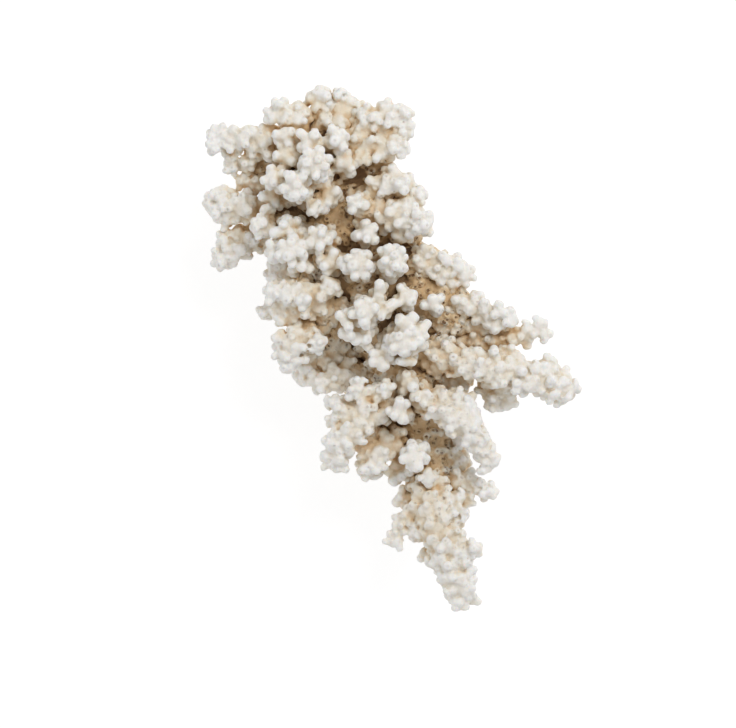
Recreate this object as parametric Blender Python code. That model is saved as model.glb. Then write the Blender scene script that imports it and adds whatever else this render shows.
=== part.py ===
"""Branching coral: a bleached piece of staghorn-type reef coral, cut off flat where it grew on the rock.

Metres, +Z up. The origin is the middle of the flat cut on which the piece rests. +Y runs along the
length of the piece, from the long lower spire to the crown, and +X towards its longest side arm.
Each arm that leaves the main limbs is one object, and so are the stump and the two main limbs.
"""

import math
from dataclasses import dataclass

import bmesh
import bpy
import numpy as np

MM = 0.001

# The little cups that stand all over a reef coral, in millimetres
CUP_SPACING = 5.0
ROW_SPACING = 4.2
CUP_LEAN = math.radians(60)

# The share of a cup's height that its broad foot takes up
CUP_FOOT = 0.45

# Bare old limbs carry low bumps, set wide apart
BARE_SPACING = 8.5
BARE_ROW_SPACING = 6.5
BARE_HEIGHT = 1.0

# The clearance between an arm and the socket that it grows from, and how round the socket is
GAP = 0.8
SOCKET_SIDES = 8

# How many faces a fused and socketed piece keeps, as a share of those of its separate limbs
KEPT_FACES = 0.745

# Faces that meet at less than this are flat enough to be one
FLAT = math.radians(2)

# How much of its core the end of a limb keeps, and how far its last cup stands out
TIP_SHARE = 0.62
TIP_CUP = 0.9

WHITE_TIPS = (0.83, 0.81, 0.77, 1.0)
CREAM = (0.72, 0.66, 0.56, 1.0)
TAN_CORE = (0.56, 0.45, 0.33, 1.0)
CHALKY = 0.85


@dataclass(frozen=True)
class Limb:
    """One tapering finger of coral, in millimetres.

    path: the points that its middle follows, from root to tip.
    root, tip: radius of its core at either end.
    cup: how far its cups stand out from the core, or 0 for a bare old limb.
    wide: how many times as wide as it is deep.
    """

    path: tuple
    root: float
    tip: float
    cup: float = 0.0
    wide: float = 1.0

    @property
    def bare(self):
        return self.cup == 0.0


STUMP = "trunk"
MAIN_LIMBS = (STUMP, "upper_limb", "lower_limb")

CORAL = {
    STUMP: (
        Limb(((0, 0, 0), (0, 0, 10), (0, 0, 20), (-1, 1, 34)), 23, 15, wide=1.1),
        Limb(((-4, -2, 33), (-16, -8, 39), (-29, -10, 40)), 12, 8, wide=1.3),
        Limb(((4, 2, 36), (19, 2, 44), (34, -4, 45)), 12, 8, wide=1.3),
        Limb(((-14, 9, 42), (-4, 6, 48), (8, 4, 48)), 8, 7),
        Limb(((8, 10, 33), (20, 16, 37), (28, 14, 38)), 8, 6),
        Limb(((8, -6, 35), (30, -8, 45), (50, -10, 47)), 8, 5, 1.4),
        Limb(((-6, -10, 34), (-19, -24, 38)), 9, 7, 1.4),
        Limb(((-6, 6, 33), (-25, 9, 37)), 9, 7),
        Limb(((-3, 11, 42), (-5, 14, 71)), 5.0, 4.4, 3.2),
        Limb(((-4, 12, 62), (-10, 16, 66)), 2.8, 2.4, 1.8),
        Limb(((6, 12, 44), (9, 16, 70)), 5.2, 4.6, 3.4),
        Limb(((13, 0, 44), (14, 1, 66)), 3.8, 3.0, 2.6),
        Limb(((25, -1, 46), (25, -2, 65)), 3.0, 2.4, 2.0),
        Limb(((-2, -4, 44), (-2, -5, 73)), 5.4, 4.2, 3.2),
        Limb(((-3, -6, 60), (-10, -9, 69)), 3.0, 2.6, 1.8),
        Limb(((-3, -7, 58), (-9, -15, 66)), 3.0, 2.6, 1.8),
        Limb(((-1, -7, 56), (-3, -17, 62)), 3.2, 2.8, 1.8),
        Limb(((0, -4, 62), (7, -4, 68)), 2.8, 2.2, 1.6),
        Limb(((0, -2, 60), (5, 4, 68)), 2.6, 2.2, 1.6),
    ),
    "upper_limb": (
        Limb(((-4, 10, 36), (-11, 24, 40), (-18, 46, 41), (-16, 64, 43)), 14, 10.5, wide=1.3),
        Limb(((-14, 32, 36), (-27, 33, 40), (-42, 33, 40)), 10, 8, wide=1.2),
        Limb(((-12, 60, 42), (-2, 66, 48), (8, 68, 49)), 9, 6.5, 1.4),
        Limb(((-12, 50, 40), (-2, 53, 43), (6, 55, 43)), 8, 6),
        Limb(((-10, 38, 40), (2, 44, 44), (12, 44, 46)), 9, 7),
        Limb(((-10, 26, 38), (6, 29, 41), (18, 28, 42)), 9, 6),
        Limb(((-20, 52, 38), (-36, 55, 38), (-45, 54, 38)), 9, 6),
        Limb(((-18, 62, 44), (-27, 70, 46)), 8, 6, 1.4),
        Limb(((-16, 48, 45), (-18, 60, 49)), 8, 7, 1.4),
        Limb(((-14, 62, 44), (-10, 74, 47)), 8, 6, 1.4),
        Limb(((-18, 22, 34), (-38, 13, 35)), 9, 6, 1.4),
        Limb(((-22, 60, 46), (-24, 63, 69)), 4.2, 3.4, 2.6),
        Limb(((-15, 60, 46), (-13, 64, 69)), 4.0, 3.2, 2.4),
        Limb(((-12, 52, 46), (-9, 55, 64)), 3.4, 2.8, 2.0),
        Limb(((-20, 50, 46), (-22, 54, 74)), 5.4, 4.6, 3.2),
        Limb(((-26, 44, 44), (-30, 45, 73)), 5.0, 4.2, 3.2),
        Limb(((-28, 44, 44), (-39, 49, 65)), 4.0, 3.2, 2.4),
        Limb(((-26, 54, 44), (-34, 58, 63)), 4.4, 3.6, 2.6),
        Limb(((-28, 60, 46), (-34, 66, 64)), 3.8, 3.0, 2.2),
        Limb(((-32, 40, 42), (-40, 42, 56)), 3.4, 2.6, 2.0),
        Limb(((-14, 40, 44), (-17, 42, 60)), 4.2, 3.2, 2.2),
        Limb(((-18, 38, 46), (-22, 37, 66)), 2.8, 2.2, 1.4),
        Limb(((-28, 30, 42), (-34, 28, 64)), 3.4, 2.8, 2.0),
        Limb(((-24, 26, 42), (-32, 19, 69)), 5.2, 4.4, 2.8),
        Limb(((-29, 20, 60), (-39, 19, 63)), 3.2, 2.6, 1.8),
        Limb(((-26, 19, 56), (-28, 13, 63)), 3.0, 2.4, 1.8),
        Limb(((-15, 25, 44), (-21, 24, 66)), 4.8, 4.0, 2.8),
        Limb(((-12, 16, 42), (-16, 15, 65)), 4.0, 3.2, 2.6),
        Limb(((-4, 27, 44), (-1, 26, 67)), 3.4, 2.8, 2.2),
    ),
    "lower_limb": (
        Limb(((4, -8, 36), (14, -26, 40), (20, -50, 36), (25, -76, 38)), 14, 8.5, wide=1.1),
        Limb(((8, -20, 32), (-8, -33, 28)), 9, 7.5),
        Limb(((16, -28, 38), (38, -33, 42)), 9, 6, 1.4),
        Limb(((24, -52, 36), (36, -54, 37)), 8, 6, 1.4),
        Limb(((22, -58, 36), (11, -62, 38)), 7, 5.5, 1.4),
        Limb(((26, -64, 36), (37, -65, 38)), 7.5, 5.5, 1.4),
        Limb(((16, -46, 36), (2, -52, 36)), 8, 6),
        Limb(((9, -14, 44), (13, -17, 72)), 5.0, 4.0, 2.8),
        Limb(((12, -14, 60), (15, -9, 70)), 3.2, 2.6, 1.6),
        Limb(((13, -14, 60), (21, -12, 69)), 3.2, 2.8, 1.8),
        Limb(((12, -18, 60), (21, -18, 67)), 3.0, 2.4, 1.6),
        Limb(((9, -19, 56), (4, -25, 66)), 3.2, 2.6, 1.8),
        Limb(((13, -19, 56), (15, -25, 64)), 2.8, 2.2, 1.6),
        Limb(((14, -32, 44), (15, -33, 60)), 3.6, 3.0, 2.0),
        Limb(((15, -43, 44), (11, -44, 64)), 3.6, 2.8, 2.2),
        Limb(((20, -60, 42), (17, -63, 66)), 4.2, 3.4, 2.4),
        Limb(((20, -64, 42), (10, -71, 45)), 3.8, 2.8, 2.0),
        Limb(((22, -72, 42), (24, -70, 54)), 2.6, 2.0, 1.4),
    ),
    "left_arm": (
        Limb(((-27, 58, 45), (-48, 65, 53), (-63, 64, 52)), 5.4, 4.0, 2.8),
        Limb(((-38, 62, 49), (-41, 69, 54)), 3.2, 2.6, 1.8),
        Limb(((-45, 62, 50), (-50, 53, 46)), 3.8, 3.0, 1.8),
        Limb(((-54, 62, 50), (-57, 54, 46)), 2.0, 1.6, 1.0),
    ),
    "left_short_arm": (
        Limb(((-32, 46, 40), (-44, 47, 43), (-53, 48, 42)), 3.0, 2.6, 2.0),
    ),
    "left_middle_arm": (
        Limb(((-38, 34, 40), (-52, 38, 46), (-65, 38, 44)), 4.8, 3.6, 2.6),
        Limb(((-50, 38, 44), (-59, 31, 42)), 3.2, 2.4, 1.8),
        Limb(((-52, 38, 45), (-60, 44, 44)), 3.0, 2.4, 1.8),
    ),
    "left_lower_arm": (
        Limb(((-36, 29, 34), (-50, 23, 41), (-60, 16, 40)), 4.8, 4.0, 2.8),
        Limb(((-46, 26, 40), (-59, 26, 40)), 3.8, 3.2, 2.0),
    ),
    "left_front_arm": (
        Limb(((-34, 33, 42), (-41, 30, 54), (-45, 30, 60)), 3.6, 3.0, 2.2),
        Limb(((-40, 32, 52), (-42, 37, 58)), 2.6, 2.2, 1.4),
    ),
    "crown_left_arm": (
        Limb(((-21, 58, 46), (-30, 70, 56), (-37, 75, 57)), 5.8, 4.6, 3.0),
        Limb(((-26, 66, 54), (-28, 77, 57)), 4.0, 3.4, 2.4),
    ),
    "crown_top_arm": (
        Limb(((-18, 62, 46), (-19, 75, 54), (-21, 83, 53)), 5.4, 4.0, 2.8),
    ),
    "crown_middle_arm": (
        Limb(((-13, 62, 46), (-12, 73, 54), (-13, 81, 52)), 4.4, 3.6, 2.4),
        Limb(((-11, 68, 51), (-4, 78, 51)), 3.8, 3.0, 2.4),
        Limb(((-12, 70, 52), (-8, 81, 51)), 3.4, 2.8, 2.0),
    ),
    "crown_right_arm": (
        Limb(((-12, 58, 48), (2, 70, 57), (14, 74, 57)), 6.0, 4.2, 2.8),
        Limb(((-2, 64, 55), (6, 61, 60), (12, 63, 59)), 4.6, 3.6, 2.6),
        Limb(((0, 70, 56), (8, 78, 55)), 4.0, 3.0, 2.2),
        Limb(((-4, 67, 55), (0, 77, 55)), 3.2, 2.6, 2.0),
        Limb(((6, 70, 57), (15, 67, 56)), 3.4, 3.0, 2.0),
        Limb(((-6, 60, 54), (-2, 56, 61)), 3.6, 3.0, 2.0),
        Limb(((4, 62, 58), (6, 57, 59)), 3.2, 2.6, 2.0),
    ),
    "right_shoulder_arm": (
        Limb(((-3, 41, 46), (7, 46, 58), (14, 47, 60)), 5.8, 4.4, 3.0),
    ),
    "right_upper_arm": (
        Limb(((-4, 33, 46), (10, 34, 60), (22, 30, 61)), 6.0, 4.6, 3.0),
        Limb(((10, 35, 60), (20, 40, 59)), 3.4, 2.8, 1.8),
        Limb(((0, 36, 56), (-6, 40, 63)), 3.6, 3.0, 2.2),
        Limb(((12, 33, 58), (14, 25, 56)), 3.6, 3.0, 2.0),
    ),
    "right_middle_arm": (
        Limb(((11, 12, 42), (26, 14, 52), (38, 11, 50)), 6.0, 4.4, 2.8),
        Limb(((18, 14, 50), (24, 20, 54)), 3.6, 3.0, 2.0),
        Limb(((24, 12, 50), (34, 5, 50)), 3.4, 2.8, 1.8),
    ),
    "right_third_arm": (
        Limb(((27, -3, 42), (42, -3, 53), (56, -9, 53)), 5.0, 3.6, 2.4),
        Limb(((38, -3, 51), (43, 1, 52)), 2.8, 2.2, 1.6),
    ),
    "right_fourth_arm": (
        Limb(((32, -15, 41), (50, -17, 47), (69, -11, 50)), 4.6, 3.2, 2.2),
        Limb(((56, -14, 48), (64, -17, 48)), 2.8, 2.2, 1.6),
    ),
    "right_long_arm": (
        Limb(((18, -20, 46), (40, -25, 58), (64, -31, 55), (79, -36, 51)), 6.6, 6.0, 3.0),
        Limb(((62, -30, 54), (74, -26, 52)), 3.6, 3.0, 2.0),
        Limb(((48, -26, 56), (57, -20, 54)), 3.2, 2.6, 1.8),
        Limb(((46, -27, 52), (50, -42, 46)), 4.2, 3.4, 1.8),
        Limb(((52, -30, 52), (57, -42, 49)), 3.4, 2.8, 1.6),
    ),
    "lower_right_arm": (
        Limb(((17, -38, 46), (29, -43, 60), (41, -53, 59), (48, -65, 53)), 6.0, 4.2, 2.8),
        Limb(((26, -40, 58), (40, -40, 59)), 4.0, 3.2, 2.2),
        Limb(((30, -46, 60), (42, -47, 60)), 3.6, 3.0, 2.0),
        Limb(((22, -40, 54), (19, -38, 63)), 3.4, 2.8, 2.0),
    ),
    "lower_small_arm": (
        Limb(((26, -73, 38), (40, -74, 42), (48, -78, 41)), 4.6, 3.2, 2.0),
        Limb(((32, -74, 41), (40, -80, 42)), 3.2, 2.6, 1.8),
    ),
    "lower_spire": (
        Limb(((24, -74, 42), (26, -88, 49), (32, -106, 48), (37.5, -120, 44)), 7.6, 5.8, 2.8),
        Limb(((27, -80, 46), (36, -81, 46)), 3.8, 3.2, 2.0),
        Limb(((30, -93, 48), (37, -95, 48)), 3.4, 2.8, 2.0),
        Limb(((26, -93, 46), (17, -94, 44)), 3.4, 2.8, 1.8),
        Limb(((22, -82, 46), (14, -89, 44), (8, -98, 41)), 3.6, 2.6, 2.0),
        Limb(((28, -86, 48), (37, -88, 48)), 3.6, 3.0, 2.0),
        Limb(((32, -100, 48), (44, -100, 50)), 3.4, 2.6, 1.8),
        Limb(((29, -102, 46), (22, -103, 43)), 2.6, 2.2, 1.4),
        Limb(((22, -79, 42), (11, -80, 39)), 3.2, 2.6, 1.6),
    ),
    "lower_left_arm": (
        Limb(((8, -39, 41), (-2, -46, 55), (-10, -56, 57), (-15, -65, 53)), 6.8, 5.4, 3.2),
        Limb(((-1, -42, 57), (-6, -34, 62)), 3.2, 2.6, 1.8),
        Limb(((2, -40, 57), (7, -34, 62)), 3.0, 2.4, 1.6),
        Limb(((-5, -46, 56), (-15, -40, 55)), 3.4, 2.8, 1.8),
        Limb(((-8, -48, 56), (-16, -48, 54)), 3.4, 2.8, 1.8),
    ),
    "lower_second_arm": (
        Limb(((12, -53, 40), (4, -61, 50), (-1, -69, 47)), 5.4, 4.4, 2.8),
        Limb(((5, -60, 49), (-3, -59, 47)), 3.4, 2.8, 1.8),
    ),
    "left_fan_arm": (
        Limb(((-14, -4, 44), (-26, 1, 60), (-37, 4, 59)), 6.8, 4.4, 3.0),
        Limb(((-24, 0, 60), (-14, 5, 63)), 4.0, 3.2, 2.4),
        Limb(((-28, 2, 59), (-39, 8, 55)), 3.8, 3.0, 2.0),
        Limb(((-27, -2, 58), (-35, -9, 55)), 3.2, 2.6, 1.8),
        Limb(((-30, 0, 58), (-43, -5, 54)), 3.2, 2.4, 1.4),
        Limb(((-24, 1, 58), (-27, 6, 59)), 3.4, 2.8, 2.0),
    ),
    "left_down_arm": (
        Limb(((-20, -11, 44), (-30, -17, 57), (-32.5, -26, 53)), 6.0, 4.6, 3.0),
        Limb(((-25, -14, 55), (-19, -17, 62)), 2.8, 2.4, 1.4),
        Limb(((-29, -18, 56), (-37, -14, 57)), 3.0, 2.4, 1.6),
    ),
    "left_shaded_arm": (
        Limb(((-16, -14, 34), (-24, -24, 38), (-27, -31, 38)), 5.2, 4.2, 1.8),
    ),
    "left_bottom_arm": (
        Limb(((-6, -27, 36), (-15, -32, 46), (-21, -34, 43)), 5.0, 3.8, 2.4),
    ),
    "stump_back_arm": (
        Limb(((8, 12, 18), (14, 24, 22), (12, 34, 22)), 5.4, 4.0, 2.4),
    ),
    "stump_left_arm": (
        Limb(((-10, 10, 16), (-24, 18, 20), (-36, 16, 20)), 5.6, 4.0, 2.4),
    ),
    "stump_front_arm": (
        Limb(((-12, -10, 18), (-24, -22, 22), (-26, -32, 23)), 5.4, 4.0, 2.4),
    ),
    "stump_right_arm": (
        Limb(((12, -10, 16), (28, -20, 20), (40, -20, 22)), 5.6, 4.0, 2.4),
    ),
}


def smooth_path(points, spacing):
    """Points a set distance apart along the curve through the given ones, first and last kept."""
    knots = np.array(points, float)
    knots = np.vstack([2 * knots[0] - knots[1], knots, 2 * knots[-1] - knots[-2]])
    fine = []
    for before, start, end, after in zip(knots, knots[1:], knots[2:], knots[3:]):
        for t in np.linspace(0, 1, 40, endpoint=False):
            slope = (end - before) * t
            bend = (2 * before - 5 * start + 4 * end - after) * t**2
            twist = (3 * start - before - 3 * end + after) * t**3
            fine.append(start + (slope + bend + twist) / 2)
    fine = np.array(fine + [knots[-2]])
    run = np.concatenate([[0], np.cumsum(np.linalg.norm(np.diff(fine, axis=0), axis=1))])
    count = max(2, round(run[-1] / spacing))
    at = np.linspace(0, run[-1], count + 1)
    return np.stack([np.interp(at, run, fine[:, axis]) for axis in range(3)], axis=1)


def unit(vector):
    return vector / np.linalg.norm(vector)


class Shape:
    """The rows of points that stand round one limb, from its root to its tip."""

    def __init__(self, limb):
        self.limb = limb
        self.height = BARE_HEIGHT if limb.bare else limb.cup
        self.rows = smooth_path(limb.path, BARE_ROW_SPACING if limb.bare else ROW_SPACING)
        self.last = len(self.rows) - 1
        foot = CUP_FOOT * self.height
        self.height -= foot
        self.radii = np.linspace(limb.root, limb.tip, self.last + 1) + foot
        self.forward = [unit(v) for v in np.gradient(self.rows, axis=0)]
        self.sides = self.turn_free_sides()
        self.ups = [np.cross(ahead, side) for ahead, side in zip(self.forward, self.sides)]
        self.buried = 0

    def turn_free_sides(self):
        """A side direction at each row that turns as little as it can along the limb."""
        first = self.forward[0]
        away = np.array((0, 0, 1)) if abs(first[2]) < 0.9 else np.array((0, 1, 0))
        sides = [unit(np.cross(first, away))]
        for ahead in self.forward[1:]:
            sides.append(unit(sides[-1] - ahead * (sides[-1] @ ahead)))
        return sides

    def outward(self, row, turn):
        """The direction that stands out from a row at a share of a full turn."""
        angle = 2 * math.pi * turn
        across = self.limb.wide * math.cos(angle)
        return across * self.sides[row] + math.sin(angle) * self.ups[row]

    def holds(self, point):
        """Whether a point lies inside the core of this limb."""
        away = np.linalg.norm(self.rows - point, axis=1)
        nearest = int(away.argmin())
        return away[nearest] < self.radii[nearest]

    def bury_in(self, others):
        """Counts the rows at the root that lie inside the core of another limb."""
        while self.buried < self.last - 1 and any(o.holds(self.rows[self.buried]) for o in others):
            self.buried += 1

    def reach(self):
        """Lowest and highest corner of the room that the limb takes."""
        margin = self.radii.max() * self.limb.wide + self.height + 2
        return self.rows.min(axis=0) - margin, self.rows.max(axis=0) + margin

    def near(self, other):
        low, high = self.reach()
        bottom, top = other.reach()
        return bool((low < top).all() and (bottom < high).all())


def new_mesh(name, points, faces):
    mesh = bpy.data.meshes.new(name)
    mesh.from_pydata([tuple(point * MM) for point in points], [], faces)
    mesh.update()
    return mesh


def limb_mesh(name, shape):
    """A closed mesh of one limb: a tapering core whose diamond faces each rise to a cup."""
    limb, last = shape.limb, shape.last
    spacing = BARE_SPACING if limb.bare else CUP_SPACING
    around = max(5, round(math.pi * (limb.root + limb.tip) / spacing))
    radii = shape.radii.copy()
    radii[last] *= TIP_SHARE
    points = []
    for row in range(last + 1):
        for step in range(around):
            outward = shape.outward(row, (step + row % 2 / 2) / around)
            points.append(shape.rows[row] + radii[row] * outward)

    def corner(row, step):
        return row * around + step % around

    faces = [[corner(0, step) for step in reversed(range(around))]]
    for row in range(last + 1):
        for step in range(around):
            first, second = corner(row, step), corner(row, step + 1)
            front, rear = corner(row + 1, step + row % 2), corner(row - 1, step + row % 2)
            if row == 0:
                faces.append([first, second, front])
            elif row == last:
                faces.append([second, first, rear])
            elif row < shape.buried:
                faces += [[second, first, rear], [first, second, front]]
            else:
                outward = shape.outward(row, (step + 0.5 + row % 2 / 2) / around)
                lean = shape.forward[row] * shape.height / math.tan(CUP_LEAN)
                points.append(shape.rows[row] + outward * (radii[row] + shape.height) + lean)
                cup = len(points) - 1
                for start, end in ((first, rear), (rear, second), (second, front), (front, first)):
                    faces.append([start, end, cup])
    points.append(shape.rows[last] + shape.forward[last] * limb.tip * TIP_CUP)
    for step in range(around):
        faces.append([corner(last, step), corner(last, step + 1), len(points) - 1])
    return new_mesh(name, points, faces)


def socket_mesh(name, shape):
    """A plain tube that clears a limb by the gap: close to its buried root, and past its cups beyond."""
    points, faces = [], []
    at = [row for row in range(shape.last) if row <= shape.buried or (row - shape.buried) % 2]
    at += [shape.last]
    clear = 1 / math.cos(math.pi / SOCKET_SIDES)
    for row in at:
        bare = row < shape.buried
        radius = (shape.radii[row] + (0 if bare else shape.height) + GAP) * clear
        ends = -GAP if row == 0 else shape.height + GAP if row == shape.last else 0
        for step in range(SOCKET_SIDES):
            outward = shape.outward(row, step / SOCKET_SIDES)
            points.append(shape.rows[row] + radius * outward + shape.forward[row] * ends)
    for ring in range(len(at) - 1):
        for step in range(SOCKET_SIDES):
            first, second = ring * SOCKET_SIDES + step, ring * SOCKET_SIDES + (step + 1) % SOCKET_SIDES
            faces.append([first, second, second + SOCKET_SIDES, first + SOCKET_SIDES])
    faces.append(list(reversed(range(SOCKET_SIDES))))
    faces.append(list(range(len(points) - SOCKET_SIDES, len(points))))
    return new_mesh(name, points, faces)


def material_for(node, limbs):
    """A chalky finish, whiter where the cups stand tall and tan where the limb is bare and old."""
    colour = TAN_CORE if node == STUMP else CREAM if limbs[0].bare else WHITE_TIPS
    material = bpy.data.materials.new(node + "_skeleton")
    material.use_nodes = True
    shader = material.node_tree.nodes["Principled BSDF"]
    shader.inputs["Base Color"].default_value = colour
    shader.inputs["Roughness"].default_value = CHALKY
    shader.inputs["Metallic"].default_value = 0.0
    material.diffuse_color = colour
    return material


def face_count(mesh):
    """How many triangles a mesh comes to."""
    return sum(len(face.vertices) - 2 for face in mesh.polygons)


def add_boolean(body, operation, meshes):
    """Joins meshes to a body, or takes them out of it."""
    collection = bpy.data.collections.new(f"{body.name}_{operation.lower()}")
    bpy.context.scene.collection.children.link(collection)
    for mesh in meshes:
        helper = bpy.data.objects.new(mesh.name, mesh)
        helper.hide_render = True
        helper.display_type = "WIRE"
        collection.objects.link(helper)
    modifier = body.modifiers.new(operation.lower(), "BOOLEAN")
    modifier.operation = operation
    modifier.solver = "EXACT"
    modifier.operand_type = "COLLECTION"
    modifier.collection = collection


def largest_body(mesh):
    """Drops the chips that a socket leaves behind, and the slivers along its edge."""
    bm = bmesh.new()
    bm.from_mesh(mesh)
    bodies, seen = [], set()
    for seed in bm.verts:
        if seed in seen:
            continue
        body, front = [], [seed]
        seen.add(seed)
        while front:
            vertex = front.pop()
            body.append(vertex)
            for edge in vertex.link_edges:
                other = edge.other_vert(vertex)
                if other not in seen:
                    seen.add(other)
                    front.append(other)
        bodies.append(body)
    bodies.sort(key=len)
    for chip in bodies[:-1]:
        bmesh.ops.delete(bm, geom=chip, context="VERTS")
    bmesh.ops.dissolve_limit(bm, angle_limit=FLAT, verts=bm.verts, edges=bm.edges)
    bmesh.ops.triangulate(bm, faces=bm.faces)
    bm.to_mesh(mesh)
    bm.free()


def build_node(node, shapes, whole):
    """One piece of the coral, with its side shoots fused on and the earlier pieces' sockets cut."""
    body = bpy.data.objects.new(node, limb_mesh(node, shapes[0]))
    bpy.context.scene.collection.objects.link(body)
    shoots = [limb_mesh(f"{node}_shoot_{n}", shape) for n, shape in enumerate(shapes[1:], 1)]
    separate = sum(face_count(mesh) for mesh in [body.data] + shoots)
    if shoots:
        add_boolean(body, "UNION", shoots)
    close = [shape for shape in whole if any(shape.near(own) for own in shapes)]
    sockets = [socket_mesh(f"{node}_socket_{n}", shape) for n, shape in enumerate(close)]
    if sockets:
        add_boolean(body, "DIFFERENCE", sockets)
    evaluated = body.evaluated_get(bpy.context.evaluated_depsgraph_get())
    body.data = bpy.data.meshes.new_from_object(evaluated)
    body.modifiers.clear()
    largest_body(body.data)
    thinned = body.modifiers.new("thinned", "DECIMATE")
    thinned.ratio = min(1.0, KEPT_FACES * separate / len(body.data.polygons))
    body.data.materials.clear()
    body.data.materials.append(material_for(node, CORAL[node]))


def main():
    for obj in list(bpy.data.objects):
        bpy.data.objects.remove(obj)
    shapes = {node: [Shape(limb) for limb in limbs] for node, limbs in CORAL.items()}
    every = [shape for group in shapes.values() for shape in group]
    for shape in every:
        shape.bury_in([other for other in every if other is not shape])
    arms = [node for node in CORAL if node not in MAIN_LIMBS]
    whole = []
    for node in arms + list(reversed(MAIN_LIMBS)):
        build_node(node, shapes[node], whole)
        whole += shapes[node]
    for obj in list(bpy.data.objects):
        if obj.hide_render:
            bpy.data.objects.remove(obj)


main()
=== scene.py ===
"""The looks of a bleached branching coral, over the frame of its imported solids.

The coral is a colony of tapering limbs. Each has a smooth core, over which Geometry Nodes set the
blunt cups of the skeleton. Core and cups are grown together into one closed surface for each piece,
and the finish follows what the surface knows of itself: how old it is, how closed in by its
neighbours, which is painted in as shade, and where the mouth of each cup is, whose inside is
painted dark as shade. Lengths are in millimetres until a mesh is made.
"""

from __future__ import annotations

import logging
import math
import sys
from collections.abc import Sequence
from dataclasses import dataclass, fields
from enum import Enum

import bmesh
import bpy
import numpy as np
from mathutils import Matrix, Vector
from mathutils.kdtree import KDTree

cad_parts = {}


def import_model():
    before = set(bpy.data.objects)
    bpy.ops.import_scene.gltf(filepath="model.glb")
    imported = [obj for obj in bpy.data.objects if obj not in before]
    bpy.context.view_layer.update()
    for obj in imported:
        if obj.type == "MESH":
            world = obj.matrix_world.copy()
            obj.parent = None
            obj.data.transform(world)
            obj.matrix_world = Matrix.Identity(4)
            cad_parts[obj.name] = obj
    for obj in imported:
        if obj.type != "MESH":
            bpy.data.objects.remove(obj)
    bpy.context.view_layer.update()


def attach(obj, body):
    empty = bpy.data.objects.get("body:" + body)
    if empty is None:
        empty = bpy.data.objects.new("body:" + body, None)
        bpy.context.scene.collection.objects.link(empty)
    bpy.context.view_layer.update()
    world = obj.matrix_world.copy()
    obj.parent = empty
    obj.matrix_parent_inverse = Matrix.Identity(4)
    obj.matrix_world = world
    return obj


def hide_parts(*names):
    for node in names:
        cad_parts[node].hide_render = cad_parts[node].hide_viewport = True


LOG = logging.getLogger("coral")
MM = 0.001

# The photograph's frame, and what one of its pixels measures on the coral
PHOTO_WIDTH = 736
PHOTO_HEIGHT = 728
PIXEL = 0.4
ORIGIN_COLUMN = 370
ORIGIN_ROW = 300

# How many places a curve is worked out at between two of its points
CURVE_STEPS = 40

# How far apart the nodes of a tree are drawn
NODE_PITCH = 180

Point = tuple[float, float, float]
Colour = tuple[float, float, float]


@dataclass(frozen=True)
class Bud:
    """The size and the spread of one kind of bud, in millimetres.

    Args:
        radius: half the width of a bud.
        height: how far a bud stands out.
        spacing: the least distance between two buds.
        lean: how much a bud leans to the limb's tip, 0 for square and 1 for halfway.
    """

    radius: float
    height: float
    spacing: float
    lean: float = 0.0


@dataclass(frozen=True)
class CupForm:
    """The form of the skeleton on a limb, in millimetres.

    Args:
        girth: the core's radius as a share of the limb's.
        cup: the cups that stand all over.
        mouth: radius of the mouth at the top of a cup.
        knob: the knobs under the cups, where the limb has them.
        open: whether each cup is a low open ring, as on old skeleton, and not a blunt nub.
    """

    girth: float
    cup: Bud
    mouth: float
    knob: Bud | None = None
    open: bool = False

    @property
    def depth(self) -> float:
        """How far the skeleton stands out of the core."""
        return self.cup.height + (self.knob.height if self.knob else 0)


class Cups(Enum):
    """The kinds of skeleton that a limb can carry."""

    PITS = CupForm(1.0, Bud(1.5, 0.9, 3.6, 0.1), 0.55, open=True)
    SMALL = CupForm(0.76, Bud(1.7, 1.7, 2.8, 0.5), 0.4, Bud(2.6, 1.8, 4.6, 0.8))
    MEDIUM = CupForm(0.78, Bud(1.85, 1.9, 3.1, 0.5), 0.45, Bud(3.0, 2.2, 5.2, 0.8))
    LARGE = CupForm(0.84, Bud(2.3, 3.2, 3.5, 0.5), 0.45)


@dataclass(frozen=True)
class Limb:
    """One tapering finger of coral, in millimetres.

    Args:
        path: the points that its middle follows, from root to tip.
        root: radius of its core at the root.
        tip: radius of its core at the tip.
        cups: the kind of cup that it carries.
        wide: how many times as wide as it is deep.
    """

    path: tuple[Point, ...]
    root: float
    tip: float
    cups: Cups = Cups.MEDIUM
    wide: float = 1.0


Limbs = tuple[Limb, ...]


def unit(vector: np.ndarray) -> np.ndarray:
    """The vector at a length of one."""
    return vector / np.linalg.norm(vector)


def smooth_path(points: Sequence[Point], step: float) -> np.ndarray:
    """Points along the curve through the given ones.

    Args:
        points: what the curve passes through.
        step: about how far apart the points are to be.

    Returns:
        The points, one row each, with the first and the last of the given ones kept.
    """
    knots = np.array(points, float)
    knots = np.vstack([2 * knots[0] - knots[1], knots, 2 * knots[-1] - knots[-2]])
    fine = []
    for before, start, end, after in zip(knots, knots[1:], knots[2:], knots[3:]):
        for t in np.linspace(0, 1, CURVE_STEPS, endpoint=False):
            slope = (end - before) * t
            bend = (2 * before - 5 * start + 4 * end - after) * t**2
            twist = (3 * start - before - 3 * end + after) * t**3
            fine.append(start + (slope + bend + twist) / 2)
    fine = np.array(fine + [knots[-2]])
    run = np.concatenate([[0], np.cumsum(np.linalg.norm(np.diff(fine, axis=0), axis=1))])
    at = np.linspace(0, run[-1], max(2, round(run[-1] / step)) + 1)
    return np.stack([np.interp(at, run, fine[:, axis]) for axis in range(3)], axis=1)


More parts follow.
